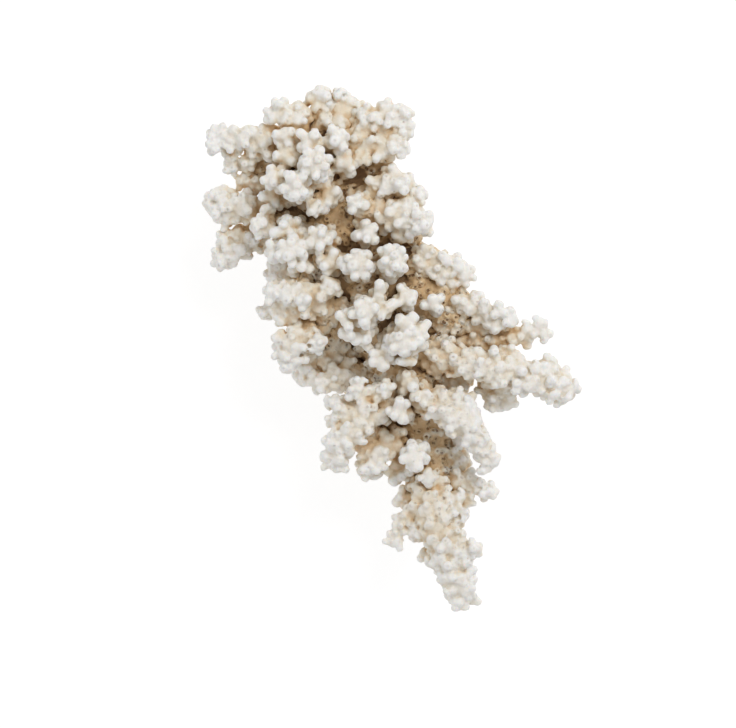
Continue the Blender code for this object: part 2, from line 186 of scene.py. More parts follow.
class Core:
    """The smooth core of one limb, as rings round its path.

    Args:
        limb: the limb that the core belongs to.
    """

    STEP = 1.8
    SIDES = 14
    DOME_RINGS = 3
    DOME = 0.6
    SWELL = 0.13
    SWELL_TURNS = 2
    SWELL_LENGTH = 8.0

    def __init__(self, limb: Limb) -> None:
        self.limb = limb
        self.rows = smooth_path(limb.path, self.STEP)
        self.share = np.linspace(0, 1, len(self.rows))
        self.girth = limb.cups.value.girth
        self.radii = self.girth * (limb.root + (limb.tip - limb.root) * self.share)
        self.forward = np.array([unit(v) for v in np.gradient(self.rows, axis=0)])

    def rings(self) -> list[tuple[np.ndarray, float, int]]:
        """Middle, radius and row of each ring, with those of the domed tip at the end."""
        rings = [(self.rows[row], self.radii[row], row) for row in range(len(self.rows))]
        last = len(self.rows) - 1
        for ring in range(1, self.DOME_RINGS + 1):
            angle = ring * math.pi / 2 / (self.DOME_RINGS + 1)
            middle = self.rows[last] + self.forward[last] * self.radii[last] * math.sin(angle) * self.DOME
            rings.append((middle, self.radii[last] * math.cos(angle), last))
        return rings

    def sides(self) -> list[np.ndarray]:
        """A sideways direction at each row that turns as little as it can."""
        first = self.forward[0]
        away = np.array((0, 0, 1.0)) if abs(first[2]) < 0.9 else np.array((0, 1.0, 0))
        sides = [unit(np.cross(first, away))]
        for ahead in self.forward[1:]:
            sides.append(unit(sides[-1] - ahead * (sides[-1] @ ahead)))
        return sides

    def swell(self, angle: float, run: float) -> float:
        """How much the core swells or shrinks at one place, as a factor on its radius."""
        phase = sum(self.limb.path[-1])
        around = math.sin(self.SWELL_TURNS * angle + phase)
        along = math.sin(run / self.SWELL_LENGTH * math.tau + phase)
        return 1 + self.SWELL * around * along

    def add_to(self, builder: bmesh.types.BMesh) -> None:
        """Adds the closed core to a mesh, with the direction to its tip on every point."""
        ahead_layer = builder.verts.layers.float_vector["ahead"]
        sides = self.sides()
        loops = []
        for middle, radius, row in self.rings():
            up = np.cross(self.forward[row], sides[row])
            loop = []
            for step in range(self.SIDES):
                angle = math.tau * step / self.SIDES
                across = self.limb.wide * math.cos(angle) * sides[row]
                reach = radius * self.swell(angle, row * self.STEP)
                if row == 0:
                    reach = radius
                vertex = builder.verts.new((middle + reach * (across + math.sin(angle) * up)) * MM)
                vertex[ahead_layer] = Vector(self.forward[row])
                loop.append(vertex)
            loops.append(loop)
        builder.faces.new(list(reversed(loops[0])))
        for low, high in zip(loops, loops[1:]):
            for step in range(self.SIDES):
                after = (step + 1) % self.SIDES
                builder.faces.new((low[step], low[after], high[after], high[step]))
        builder.faces.new(loops[-1])


class NodeBuilder:
    """Adds and joins the nodes of one tree.

    Args:
        tree: the tree that the nodes go into.
    """

    def __init__(self, tree: bpy.types.NodeTree) -> None:
        self.tree = tree
        self.count = 0

    def add(self, kind: str, **settings: object) -> bpy.types.Node:
        """A new node of a kind, with its settings."""
        node = self.tree.nodes.new(kind)
        node.location = (self.count * NODE_PITCH, 0)
        self.count += 1
        for name, value in settings.items():
            setattr(node, name, value)
        return node

    def join(self, start: bpy.types.NodeSocket, end: bpy.types.NodeSocket) -> None:
        """Joins an output to an input."""
        self.tree.links.new(start, end)

    def feed(self, socket: bpy.types.NodeSocket, value: object) -> None:
        """Gives an input its value: another node's output, or a constant."""
        if isinstance(value, bpy.types.NodeSocket):
            self.join(value, socket)
        else:
            socket.default_value = value

    def maths(self, operation: str, *values: object, clamp: bool = False) -> bpy.types.NodeSocket:
        """The result of a sum on values or outputs."""
        node = self.add("ShaderNodeMath", operation=operation, use_clamp=clamp)
        for socket, value in zip(node.inputs, values):
            self.feed(socket, value)
        return node.outputs[0]

    def vector(self, operation: str, *values: object, scale: object = None) -> bpy.types.NodeSocket:
        """The result of a vector operation."""
        node = self.add("ShaderNodeVectorMath", operation=operation)
        for socket, value in zip(node.inputs, values):
            self.feed(socket, value)
        if scale is not None:
            self.feed(node.inputs["Scale"], scale)
        return node.outputs[0]


def new_group(name: str, kind: str, inputs: dict[str, tuple], outputs: dict[str, str]) -> NodeBuilder:
    """A node group with named sockets.

    Args:
        name: the group's name.
        kind: the kind of tree.
        inputs: each input's kind and, where it has one, its first value.
        outputs: each output's kind.

    Returns:
        A builder for the group's tree.
    """
    tree = bpy.data.node_groups.new(name, kind)
    for label, (socket_kind, *value) in inputs.items():
        socket = tree.interface.new_socket(name=label, in_out="INPUT", socket_type=socket_kind)
        if value:
            socket.default_value = value[0]
    for label, socket_kind in outputs.items():
        tree.interface.new_socket(name=label, in_out="OUTPUT", socket_type=socket_kind)
    return NodeBuilder(tree)


FLOAT = "NodeSocketFloat"
VECTOR = "NodeSocketVector"
GEOMETRY = "NodeSocketGeometry"


class BudTree:
    """The Geometry Nodes tree that sets buds all over a core.

    The buds stand at random, but no closer than the spacing, and lean towards the limb's tip. Their
    widths and heights are drawn as factors on the size of their kind. Lengths here are in metres.
    """

    WIDTHS = (0.8, 1.15)
    HEIGHTS = (0.6, 1.3)
    WIDTH_SEED = 1000
    CROWD = 1.2e6
    CLEAR = 5e-5
    REACH = 0.02

    def __init__(self) -> None:
        self.tree = self.build()
        self.sockets = {
            item.name: item.identifier
            for item in self.tree.interface.items_tree
            if item.in_out == "INPUT"
        }

    def build(self) -> bpy.types.NodeTree:
        """The tree, with an input for each size."""
        nodes = new_group(
            "buds on a core",
            "GeometryNodeTree",
            {
                "Core": (GEOMETRY,),
                "Bud": ("NodeSocketObject",),
                "Radius": (FLOAT, 0.0017),
                "Height": (FLOAT, 0.0026),
                "Spacing": (FLOAT, 0.0036),
                "Lean": (FLOAT, 0.8),
                "Seed": ("NodeSocketInt", 0),
                "Material": ("NodeSocketMaterial",),
            },
            {"Geometry": GEOMETRY},
        )
        given = nodes.add("NodeGroupInput").outputs
        spread = nodes.add("GeometryNodeDistributePointsOnFaces", distribute_method="POISSON")
        nodes.join(given["Core"], spread.inputs["Mesh"])
        nodes.join(self.outside(nodes, given["Core"]), spread.inputs["Selection"])
        nodes.join(given["Spacing"], spread.inputs["Distance Min"])
        spread.inputs["Density Max"].default_value = self.CROWD
        nodes.join(given["Seed"], spread.inputs["Seed"])
        ahead = nodes.add("GeometryNodeInputNamedAttribute", data_type="FLOAT_VECTOR")
        ahead.inputs["Name"].default_value = "ahead"
        leaning = nodes.vector("SCALE", ahead.outputs["Attribute"], scale=given["Lean"])
        way = nodes.vector("ADD", spread.outputs["Normal"], leaning)
        turned = nodes.add("FunctionNodeAlignRotationToVector", axis="Z")
        nodes.join(way, turned.inputs["Vector"])
        width_seed = nodes.maths("ADD", given["Seed"], self.WIDTH_SEED)
        radius = nodes.maths("MULTIPLY", given["Radius"], self.chance(nodes, self.WIDTHS, width_seed))
        height = nodes.maths("MULTIPLY", given["Height"], self.chance(nodes, self.HEIGHTS, given["Seed"]))
        scale = nodes.add("ShaderNodeCombineXYZ")
        nodes.join(radius, scale.inputs["X"])
        nodes.join(radius, scale.inputs["Y"])
        nodes.join(height, scale.inputs["Z"])
        cup = nodes.add("GeometryNodeObjectInfo", transform_space="ORIGINAL")
        nodes.join(given["Bud"], cup.inputs["Object"])
        cups = nodes.add("GeometryNodeInstanceOnPoints")
        nodes.join(spread.outputs["Points"], cups.inputs["Points"])
        nodes.join(cup.outputs["Geometry"], cups.inputs["Instance"])
        nodes.join(turned.outputs["Rotation"], cups.inputs["Rotation"])
        nodes.join(scale.outputs["Vector"], cups.inputs["Scale"])
        together = nodes.add("GeometryNodeJoinGeometry")
        nodes.join(cups.outputs["Instances"], together.inputs["Geometry"])
        nodes.join(given["Core"], together.inputs["Geometry"])
        solid = nodes.add("GeometryNodeRealizeInstances")
        nodes.join(together.outputs["Geometry"], solid.inputs["Geometry"])
        finish = nodes.add("GeometryNodeSetMaterial")
        nodes.join(solid.outputs["Geometry"], finish.inputs["Geometry"])
        nodes.join(given["Material"], finish.inputs["Material"])
        result = nodes.add("NodeGroupOutput")
        nodes.join(finish.outputs["Geometry"], result.inputs["Geometry"])
        return nodes.tree

    def outside(self, nodes: NodeBuilder, mesh: bpy.types.NodeSocket) -> bpy.types.NodeSocket:
        """Whether a face lies outside every other shell of the mesh.

        A ray from a face that is buried in another shell meets the back of that shell first.

        Args:
            nodes: the builder of the tree.
            mesh: the shells.

        Returns:
            The yes or no of each face.
        """
        normal = nodes.add("GeometryNodeInputNormal").outputs["Normal"]
        place = nodes.add("GeometryNodeInputPosition").outputs["Position"]
        ray = nodes.add("GeometryNodeRaycast")
        nodes.join(mesh, ray.inputs["Target Geometry"])
        lifted = nodes.vector("ADD", place, nodes.vector("SCALE", normal, scale=self.CLEAR))
        nodes.join(lifted, ray.inputs["Source Position"])
        nodes.join(normal, ray.inputs["Ray Direction"])
        ray.inputs["Ray Length"].default_value = self.REACH
        facing = nodes.add("ShaderNodeVectorMath", operation="DOT_PRODUCT")
        nodes.join(ray.outputs["Hit Normal"], facing.inputs[0])
        nodes.join(normal, facing.inputs[1])
        buried = nodes.maths("MULTIPLY", ray.outputs["Is Hit"], facing.outputs["Value"])
        return nodes.maths("LESS_THAN", buried, self.CLEAR)

    def chance(self, nodes: NodeBuilder, span: tuple[float, float], seed: object) -> bpy.types.NodeSocket:
        """A factor drawn for each bud from a span."""
        node = nodes.add("FunctionNodeRandomValue", data_type="FLOAT")
        low, high = (socket for socket in node.inputs if socket.name in ("Min", "Max") and socket.enabled)
        low.default_value, high.default_value = span
        nodes.join(seed, node.inputs["Seed"])
        return next(socket for socket in node.outputs if socket.enabled)

    def put_on(self, core: bpy.types.Object, bud: Bud, pattern: bpy.types.Object, seed: int) -> None:
        """Adds the tree to a core as a modifier, with the sizes of one kind of bud."""
        modifier = core.modifiers.new("buds", "NODES")
        modifier.node_group = self.tree
        values = {
            "Bud": pattern,
            "Radius": bud.radius * MM,
            "Height": bud.height * MM,
            "Spacing": bud.spacing * MM,
            "Lean": bud.lean,
            "Seed": seed,
        }
        for name, value in values.items():
            modifier[self.sockets[name]] = value


Profile = tuple[tuple[float, float], ...]

# Radius and height of each ring of a bud, from the foot in the core to the top or down to the mouth
NUB: Profile = ((1.1, -0.4), (1.0, 0.0), (0.98, 0.35), (0.94, 0.6), (0.76, 0.84), (0.42, 0.97))
RING: Profile = ((1.15, -0.5), (1.0, 0.0), (0.84, 0.7), (0.66, 1.0), (0.48, 0.85), (0.38, 0.0))


@dataclass(frozen=True)
class BudPattern:
    """The bud that is set all over the coral, one wide and one tall.

    Args:
        name: the pattern's name.
        profile: radius and height of each ring.
        mouthed: whether the bud has a mouth.
        sides: how many sides a ring has.
    """

    name: str
    profile: Profile
    mouthed: bool = True
    sides: int = 8

    def build(self) -> bpy.types.Object:
        """The bud as an object, with its mouth marked where it has one."""
        builder = bmesh.new()
        mouth_layer = builder.verts.layers.float.new("mouth")
        loops = []
        for radius, height in self.profile:
            angles = (math.tau * step / self.sides for step in range(self.sides))
            loop = [(radius * math.cos(a), radius * math.sin(a), height) for a in angles]
            loops.append([builder.verts.new(point) for point in loop])
        builder.faces.new(list(reversed(loops[0])))
        for low, high in zip(loops, loops[1:]):
            for step in range(self.sides):
                after = (step + 1) % self.sides
                builder.faces.new((low[step], low[after], high[after], high[step]))
        mouth = builder.verts.new((0, 0, self.profile[-1][1]))
        mouth[mouth_layer] = float(self.mouthed)
        for step in range(self.sides):
            builder.faces.new((loops[-1][step], loops[-1][(step + 1) % self.sides], mouth))
        mesh = bpy.data.meshes.new(self.name)
        builder.to_mesh(mesh)
        builder.free()
        return bpy.data.objects.new(self.name, mesh)


def mesh_numbers(mesh: bpy.types.Mesh, name: str, size: int, source: object) -> np.ndarray:
    """Reads one value of every element of a mesh collection at once.

    Args:
        mesh: the mesh, kept alive while its data is read.
        name: the property to read.
        size: how many numbers the property has.
        source: the collection to read from.

    Returns:
        One row of numbers for each element.
    """
    numbers = np.empty(len(source) * size, np.float32)
    source.foreach_get(name, numbers)
    return numbers.reshape(-1, size)


def evaluated_mesh(thing: bpy.types.Object) -> bpy.types.Mesh:
    """A plain mesh of an object as its modifiers leave it."""
    return bpy.data.meshes.new_from_object(thing.evaluated_get(bpy.context.evaluated_depsgraph_get()))


def discard(*things: bpy.types.Object) -> None:
    """Removes objects that were only needed on the way."""
    for thing in things:
        bpy.data.objects.remove(thing)


class Shelter:
    """How closed in each place is by the coral round it, which the finish paints in as shade.

    The limbs are stamped as balls into a grid of cells, which is then blurred.

    Args:
        cores: every limb's core.
    """

    CELL = 1.5
    MARGIN = 18.0
    SPREADS = ((3.5, 0.5), (8.0, 0.5))
    CUP_SHARE = 0.6

    def __init__(self, cores: Sequence[Core]) -> None:
        rows = np.vstack([core.rows for core in cores])
        self.low = rows.min(axis=0) - self.MARGIN
        self.shape = np.ceil((rows.max(axis=0) + self.MARGIN - self.low) / self.CELL).astype(int) + 1
        solid = np.zeros(self.shape, np.float32)
        for core in cores:
            cover = core.limb.cups.value.depth * self.CUP_SHARE
            for middle, radius in zip(core.rows, core.radii):
                self.stamp(solid, middle, radius + cover)
        self.crowd = self.blurred(solid)

    def stamp(self, solid: np.ndarray, middle: np.ndarray, radius: float) -> None:
        """Fills the cells inside one ball."""
        start = np.maximum(((middle - radius - self.low) / self.CELL).astype(int), 0)
        stop = np.minimum(((middle + radius - self.low) / self.CELL).astype(int) + 2, self.shape)
        axes = [self.low[a] + self.CELL * np.arange(start[a], stop[a]) - middle[a] for a in range(3)]
        away = sum(axis**2 for axis in np.ix_(*axes))
        block = solid[start[0]:stop[0], start[1]:stop[1], start[2]:stop[2]]
        np.maximum(block, away < radius**2, out=block)

    def blurred(self, solid: np.ndarray) -> np.ndarray:
        """The share of coral round each cell, near and further off."""
        waves = np.fft.rfftn(solid)
        steps = [np.fft.fftfreq(n, self.CELL) for n in self.shape[:2]]
        steps.append(np.fft.rfftfreq(self.shape[2], self.CELL))
        along = sum(step**2 for step in np.ix_(*steps))
        total = np.zeros(self.shape)
        for spread, weight in self.SPREADS:
            blur = np.exp(-2 * (math.pi * spread) ** 2 * along)
            total += weight * np.fft.irfftn(waves * blur, self.shape)
        return total.astype(np.float32)

    def at(self, points: np.ndarray) -> np.ndarray:
        """The share of coral round each point, blended between the cells."""
        place = np.clip((points - self.low) / self.CELL, 0, np.array(self.shape) - 2)
        cell = place.astype(int)
        part = place - cell
        total = np.zeros(len(points))
        for corner in np.ndindex(2, 2, 2):
            weight = np.prod(np.where(corner, part, 1 - part), axis=1)
            x, y, z = (cell + corner).T
            total += weight * self.crowd[x, y, z]
        return total


class Sculptor:
    """Grows limbs and their cups together into one closed surface.

    Args:
        shelter: how closed in each place is.
    """

    VOXEL = 0.46
    KEPT = 0.5
    RELIEF = 0.6
    RELIEF_SIZE = 1.6
    SMOOTH_FACTOR = 0.5
    SMOOTH_TIMES = 1
    MOUTH_DEPTH = 0.55
    MOUTH_REACH = 1.35
    MOUTH_EDGE = 0.7
    LEAST_OPEN = 0.3
    ROOT_AGE = 0.55
    AGE_FALL = 1.5
    LOOK_OUT = 3.0
    CUT_REACH = 0.7

    def __init__(self, shelter: Shelter) -> None:
        self.shelter = shelter
        self.tree = BudTree()
        self.cup = BudPattern("cup", NUB).build()
        self.ring = BudPattern("ring", RING).build()
        self.knob = BudPattern("knob", NUB, mouthed=False).build()
        self.relief = bpy.data.textures.new("relief", "CLOUDS")
        self.relief.noise_scale = self.RELIEF_SIZE * MM

    def covered(self, name: str, limbs: Sequence[Limb], form: CupForm, seed: int) -> bpy.types.Mesh:
        """The cores of limbs that carry one kind of cup, with their cups, still separate shells."""
        builder = bmesh.new()
        builder.verts.layers.float_vector.new("ahead")
        for limb in limbs:
            Core(limb).add_to(builder)
        mesh = bpy.data.meshes.new(name)
        builder.to_mesh(mesh)
        builder.free()
        core = bpy.data.objects.new(name, mesh)
        bpy.context.scene.collection.objects.link(core)
        if form.knob:
            self.tree.put_on(core, form.knob, self.knob, seed)
        self.tree.put_on(core, form.cup, self.ring if form.open else self.cup, seed + 1)
        result = evaluated_mesh(core)
        discard(core)
        return result

    def mouths(self, mesh: bpy.types.Mesh, form: CupForm) -> np.ndarray:
        """Place, in millimetres, radius and openness of every cup's mouth."""
        marked = np.empty(len(mesh.vertices), np.float32)
        mesh.attributes["mouth"].data.foreach_get("value", marked)
        places = mesh_numbers(mesh, "co", 3, mesh.vertices)[marked > 0.5] / MM
        shown = np.random.default_rng(len(places)).random(len(places))
        return np.hstack([places, np.full((len(places), 1), form.mouth), shown[:, None]])

    def sculpt(self, name: str, limbs: Limbs, seed: int) -> bpy.types.Object:
        """One closed piece of coral.

        Args:
            name: the piece's name.
            limbs: the limbs that it is made of.
            seed: what the places of its cups are drawn from.

        Returns:
            The piece, with its surface's age, shelter and mouths as attributes.
        """
        builder = bmesh.new()
        mouths = []
        for cups in Cups:
            carrying = [limb for limb in limbs if limb.cups is cups]
            if carrying:
                mesh = self.covered(name, carrying, cups.value, seed)
                mouths.append(self.mouths(mesh, cups.value))
                builder.from_mesh(mesh)
                bpy.data.meshes.remove(mesh)
        loose = bpy.data.meshes.new(name)
        builder.to_mesh(loose)
        builder.free()
        grown = bpy.data.objects.new(name, loose)
        bpy.context.scene.collection.objects.link(grown)
        self.grow_together(grown)
        mesh = evaluated_mesh(grown)
        discard(grown)
        mesh.name = name
        mesh.materials.clear()
        piece = bpy.data.objects.new(name, mesh)
        bpy.context.scene.collection.objects.link(piece)
        self.mark(mesh, limbs, np.vstack(mouths))
        mesh.shade_smooth()
        return piece

    def grow_together(self, grown: bpy.types.Object) -> None:
        """Adds the modifiers that make one rounded surface of many shells."""
        skin = grown.modifiers.new("skin", "REMESH")
        skin.mode = "VOXEL"
        skin.voxel_size = self.VOXEL * MM
        skin.use_smooth_shade = True
        relief = grown.modifiers.new("relief", "DISPLACE")
        relief.texture = self.relief
        relief.strength = self.RELIEF * MM
        relief.mid_level = 0.5
        smooth = grown.modifiers.new("smooth", "SMOOTH")
        smooth.factor = self.SMOOTH_FACTOR
        smooth.iterations = self.SMOOTH_TIMES
        thin = grown.modifiers.new("thin", "DECIMATE")
        thin.ratio = self.KEPT

    def mark(self, mesh: bpy.types.Mesh, limbs: Limbs, mouths: np.ndarray) -> None:
        """Writes what the surface knows of itself, and sinks the mouths.

        Args:
            mesh: the piece's surface.
            limbs: the limbs that it was grown from.
            mouths: place and radius of each cup's mouth.
        """
        places = mesh_numbers(mesh, "co", 3, mesh.vertices) / MM
        normals = mesh_numbers(mesh, "vector", 3, mesh.vertex_normals)
        age, proud = self.standing([Core(limb) for limb in limbs], places)
        near_mouth, away = nearest(mouths[:, :3], places)
        width = mouths[near_mouth, 3]
        mouth = np.clip((width * self.MOUTH_REACH - away) / (width * self.MOUTH_EDGE), 0, 1)
        mouth = mouth * (self.LEAST_OPEN + (1 - self.LEAST_OPEN) * mouths[near_mouth, 4])
        # how closed in each place is, which the finish paints in as shade
        crowd = self.shelter.at(places + normals * self.LOOK_OUT)
        places -= normals * (mouth * self.MOUTH_DEPTH)[:, None]
        places[:, 2] = np.where(places[:, 2] < self.CUT_REACH, 0, places[:, 2])
        mesh.vertices.foreach_set("co", (places * MM).astype(np.float32).ravel())
        self.write(mesh, "mouth", mouth)
        self.write(mesh, "age", age)
        self.write(mesh, "shelter", crowd)
        self.write(mesh, "proud", proud)
        mesh.update()

    def standing(self, cores: Sequence[Core], places: np.ndarray) -> tuple[np.ndarray, np.ndarray]:
        """How old each place is, and what share of a bud's depth it stands out of its core.

        Args:
            cores: the cores that the places lie round.
            places: points on the surface.

        Returns:
            Age and standing of each place, both from 0 to 1.
        """
        out = np.full(len(places), np.inf)
        age = np.zeros(len(places))
        proud = np.zeros(len(places))
        for core in cores:
            depth = core.limb.cups.value.depth
            breadth = (1 + core.limb.wide) / 2
            for row, radius, row_age in zip(core.rows, core.radii, self.ages(core)):
                away = np.sqrt(((places - row) ** 2).sum(axis=1)) - radius * breadth
                nearer = away < out
                out[nearer] = away[nearer]
                age[nearer] = row_age
                proud[nearer] = np.clip(away[nearer] / depth, 0, 1)
        return age, proud

    def ages(self, core: Core) -> np.ndarray:
        """How old a limb is at each row, from 0 at a white tip to 1 on a bare old limb."""
        if core.limb.cups is Cups.PITS:
            return np.ones(len(core.rows))
        return self.ROOT_AGE * (1 - core.share) ** self.AGE_FALL

    def write(self, mesh: bpy.types.Mesh, name: str, values: np.ndarray) -> None:
        """Stores one number for each point of a mesh."""
        layer = mesh.attributes.new(name, "FLOAT", "POINT")
        layer.data.foreach_set("value", values.astype(np.float32))


def nearest(targets: np.ndarray, places: np.ndarray) -> tuple[np.ndarray, np.ndarray]:
    """The nearest target to each place.

    Args:
        targets: the points to look among.
        places: the points to look from.

    Returns:
        The number of each place's nearest target, and how far off it is.
    """
    tree = KDTree(len(targets))
    for number, target in enumerate(targets):
        tree.insert(target, number)
    tree.balance()
    found = [tree.find(place)[1:] for place in places.tolist()]
    numbers, distances = zip(*found)
    return np.array(numbers), np.array(distances)


# The patches in the staining, and how steeply the painted shade deepens with shelter
PATCH_SCALE = 160
PATCH_DETAIL = 3
SHELTER_POWER = 1.5

# The share of the staining by age, and of the painted shade of shelter, that a standing bud keeps at its
# top
OLD_ON_TOP = 0.5
SHELTERED_ON_TOP = 0.4


def stain_and_shade_group() -> bpy.types.NodeTree:
    """Shared group: how far a place has gone from white to brown, 0 to 1, with patches; the staining of
    age, with painted shade in the creases and where the coral closes in.
    """
    nodes = new_group(
        "stain of age and shelter",
        "ShaderNodeTree",
        {
            "Vector": (VECTOR,),
            "Age": (FLOAT, 0.0),
            "Shelter": (FLOAT, 0.0),
            "Proud": (FLOAT, 0.0),
            "Age Weight": (FLOAT, 0.5),
            "Shelter Start": (FLOAT, 0.2),
            "Shelter Weight": (FLOAT, 1.5),
            "Crease Weight": (FLOAT, 0.2),
            "Patches": (FLOAT, 0.16),
        },
        {"Stain": FLOAT},
    )
    given = nodes.add("NodeGroupInput").outputs
    patches = nodes.add("ShaderNodeTexNoise")
    nodes.join(given["Vector"], patches.inputs["Vector"])
    patches.inputs["Scale"].default_value = PATCH_SCALE
    patches.inputs["Detail"].default_value = PATCH_DETAIL
    unevenness = nodes.maths("SUBTRACT", patches.outputs["Fac"], 0.5)
    unevenness = nodes.maths("MULTIPLY", unevenness, given["Patches"])
    # painted shade where the coral closes in round a place
    painted_shelter_shade = nodes.maths("SUBTRACT", given["Shelter"], given["Shelter Start"])
    painted_shelter_shade = nodes.maths("MAXIMUM", painted_shelter_shade, 0.0)
    painted_shelter_shade = nodes.maths("POWER", painted_shelter_shade, SHELTER_POWER)
    painted_shelter_shade = nodes.maths("MULTIPLY", painted_shelter_shade, given["Shelter Weight"])
    low = nodes.maths("SUBTRACT", 1.0, given["Proud"])
    # painted shade in the creases between the buds
    painted_crease_shade = nodes.maths("MULTIPLY", nodes.maths("MULTIPLY", low, low), given["Crease Weight"])
    old = nodes.maths("MULTIPLY", given["Age"], given["Age Weight"])
    old_share = nodes.maths("MULTIPLY_ADD", low, 1 - OLD_ON_TOP, OLD_ON_TOP)
    old = nodes.maths("MULTIPLY", old, old_share)
    closed_share = nodes.maths("MULTIPLY_ADD", low, 1 - SHELTERED_ON_TOP, SHELTERED_ON_TOP)
    painted_shelter_shade = nodes.maths("MULTIPLY", painted_shelter_shade, closed_share)
    stain = nodes.maths("ADD", nodes.maths("ADD", painted_shelter_shade, old), unevenness)
    stain = nodes.maths("ADD", stain, painted_crease_shade, clamp=True)
    result = nodes.add("NodeGroupOutput")
    nodes.join(stain, result.inputs["Stain"])
    return nodes.tree


# A pit's flat floor and its raised rim, as shares of its size, and how deep it is beside its rim
PIT_FLOOR = 0.55
PIT_RIM = 2.0
PIT_DEPTH = 3.0


def pore_group() -> bpy.types.NodeTree:
    """Shared group: small round pits at random, as a mask of their painted shade and a height."""
    nodes = new_group(
        "pits",
        "ShaderNodeTree",
        {"Vector": (VECTOR,), "Density": (FLOAT, 340.0), "Size": (FLOAT, 0.26), "Amount": (FLOAT, 1.0)},
        {"Mask": FLOAT, "Height": FLOAT},
    )
    given = nodes.add("NodeGroupInput").outputs
    cells = nodes.add("ShaderNodeTexVoronoi")
    nodes.join(given["Vector"], cells.inputs["Vector"])
    nodes.join(given["Density"], cells.inputs["Scale"])
    ramp = nodes.add("ShaderNodeMapRange", interpolation_type="SMOOTHSTEP")
    nodes.join(cells.outputs["Distance"], ramp.inputs["Value"])
    nodes.join(given["Size"], ramp.inputs["From Max"])
    nodes.join(nodes.maths("MULTIPLY", given["Size"], PIT_FLOOR), ramp.inputs["From Min"])
    ramp.inputs["To Min"].default_value = 1.0
    ramp.inputs["To Max"].default_value = 0.0
    mask = nodes.maths("MULTIPLY", ramp.outputs["Result"], given["Amount"])
    rim = nodes.add("ShaderNodeMapRange", interpolation_type="SMOOTHSTEP")
    nodes.join(cells.outputs["Distance"], rim.inputs["Value"])
    nodes.join(given["Size"], rim.inputs["From Min"])
    nodes.join(nodes.maths("MULTIPLY", given["Size"], PIT_RIM), rim.inputs["From Max"])
    rim.inputs["To Min"].default_value = 1.0
    rim.inputs["To Max"].default_value = 0.0
    raised = nodes.maths("MULTIPLY", rim.outputs["Result"], given["Amount"])
    result = nodes.add("NodeGroupOutput")
    nodes.join(mask, result.inputs["Mask"])
    nodes.join(nodes.maths("MULTIPLY_ADD", mask, -PIT_DEPTH, raised), result.inputs["Height"])
    return nodes.tree


def grain_group() -> bpy.types.NodeTree:
    """Shared group: the chalky grain of bare skeleton, as a height and a tone about one."""
    nodes = new_group(
        "chalky grain",
        "ShaderNodeTree",
        {"Vector": (VECTOR,), "Scale": (FLOAT, 560.0), "Contrast": (FLOAT, 0.3)},
        {"Height": FLOAT, "Tone": FLOAT},
    )
    given = nodes.add("NodeGroupInput").outputs
    grain = nodes.add("ShaderNodeTexNoise")
    nodes.join(given["Vector"], grain.inputs["Vector"])
    nodes.join(given["Scale"], grain.inputs["Scale"])
    grain.inputs["Detail"].default_value = 5
    grain.inputs["Roughness"].default_value = 0.68
    centred = nodes.maths("SUBTRACT", grain.outputs["Fac"], 0.5)
    result = nodes.add("NodeGroupOutput")
    nodes.join(grain.outputs["Fac"], result.inputs["Height"])
    nodes.join(nodes.maths("MULTIPLY_ADD", centred, given["Contrast"], 1.0), result.inputs["Tone"])
    return nodes.tree


class SharedEffects:
    """The shader groups that every finish of the coral uses."""

    def __init__(self) -> None:
        self.stain = stain_and_shade_group()
        self.pores = pore_group()
        self.grain = grain_group()


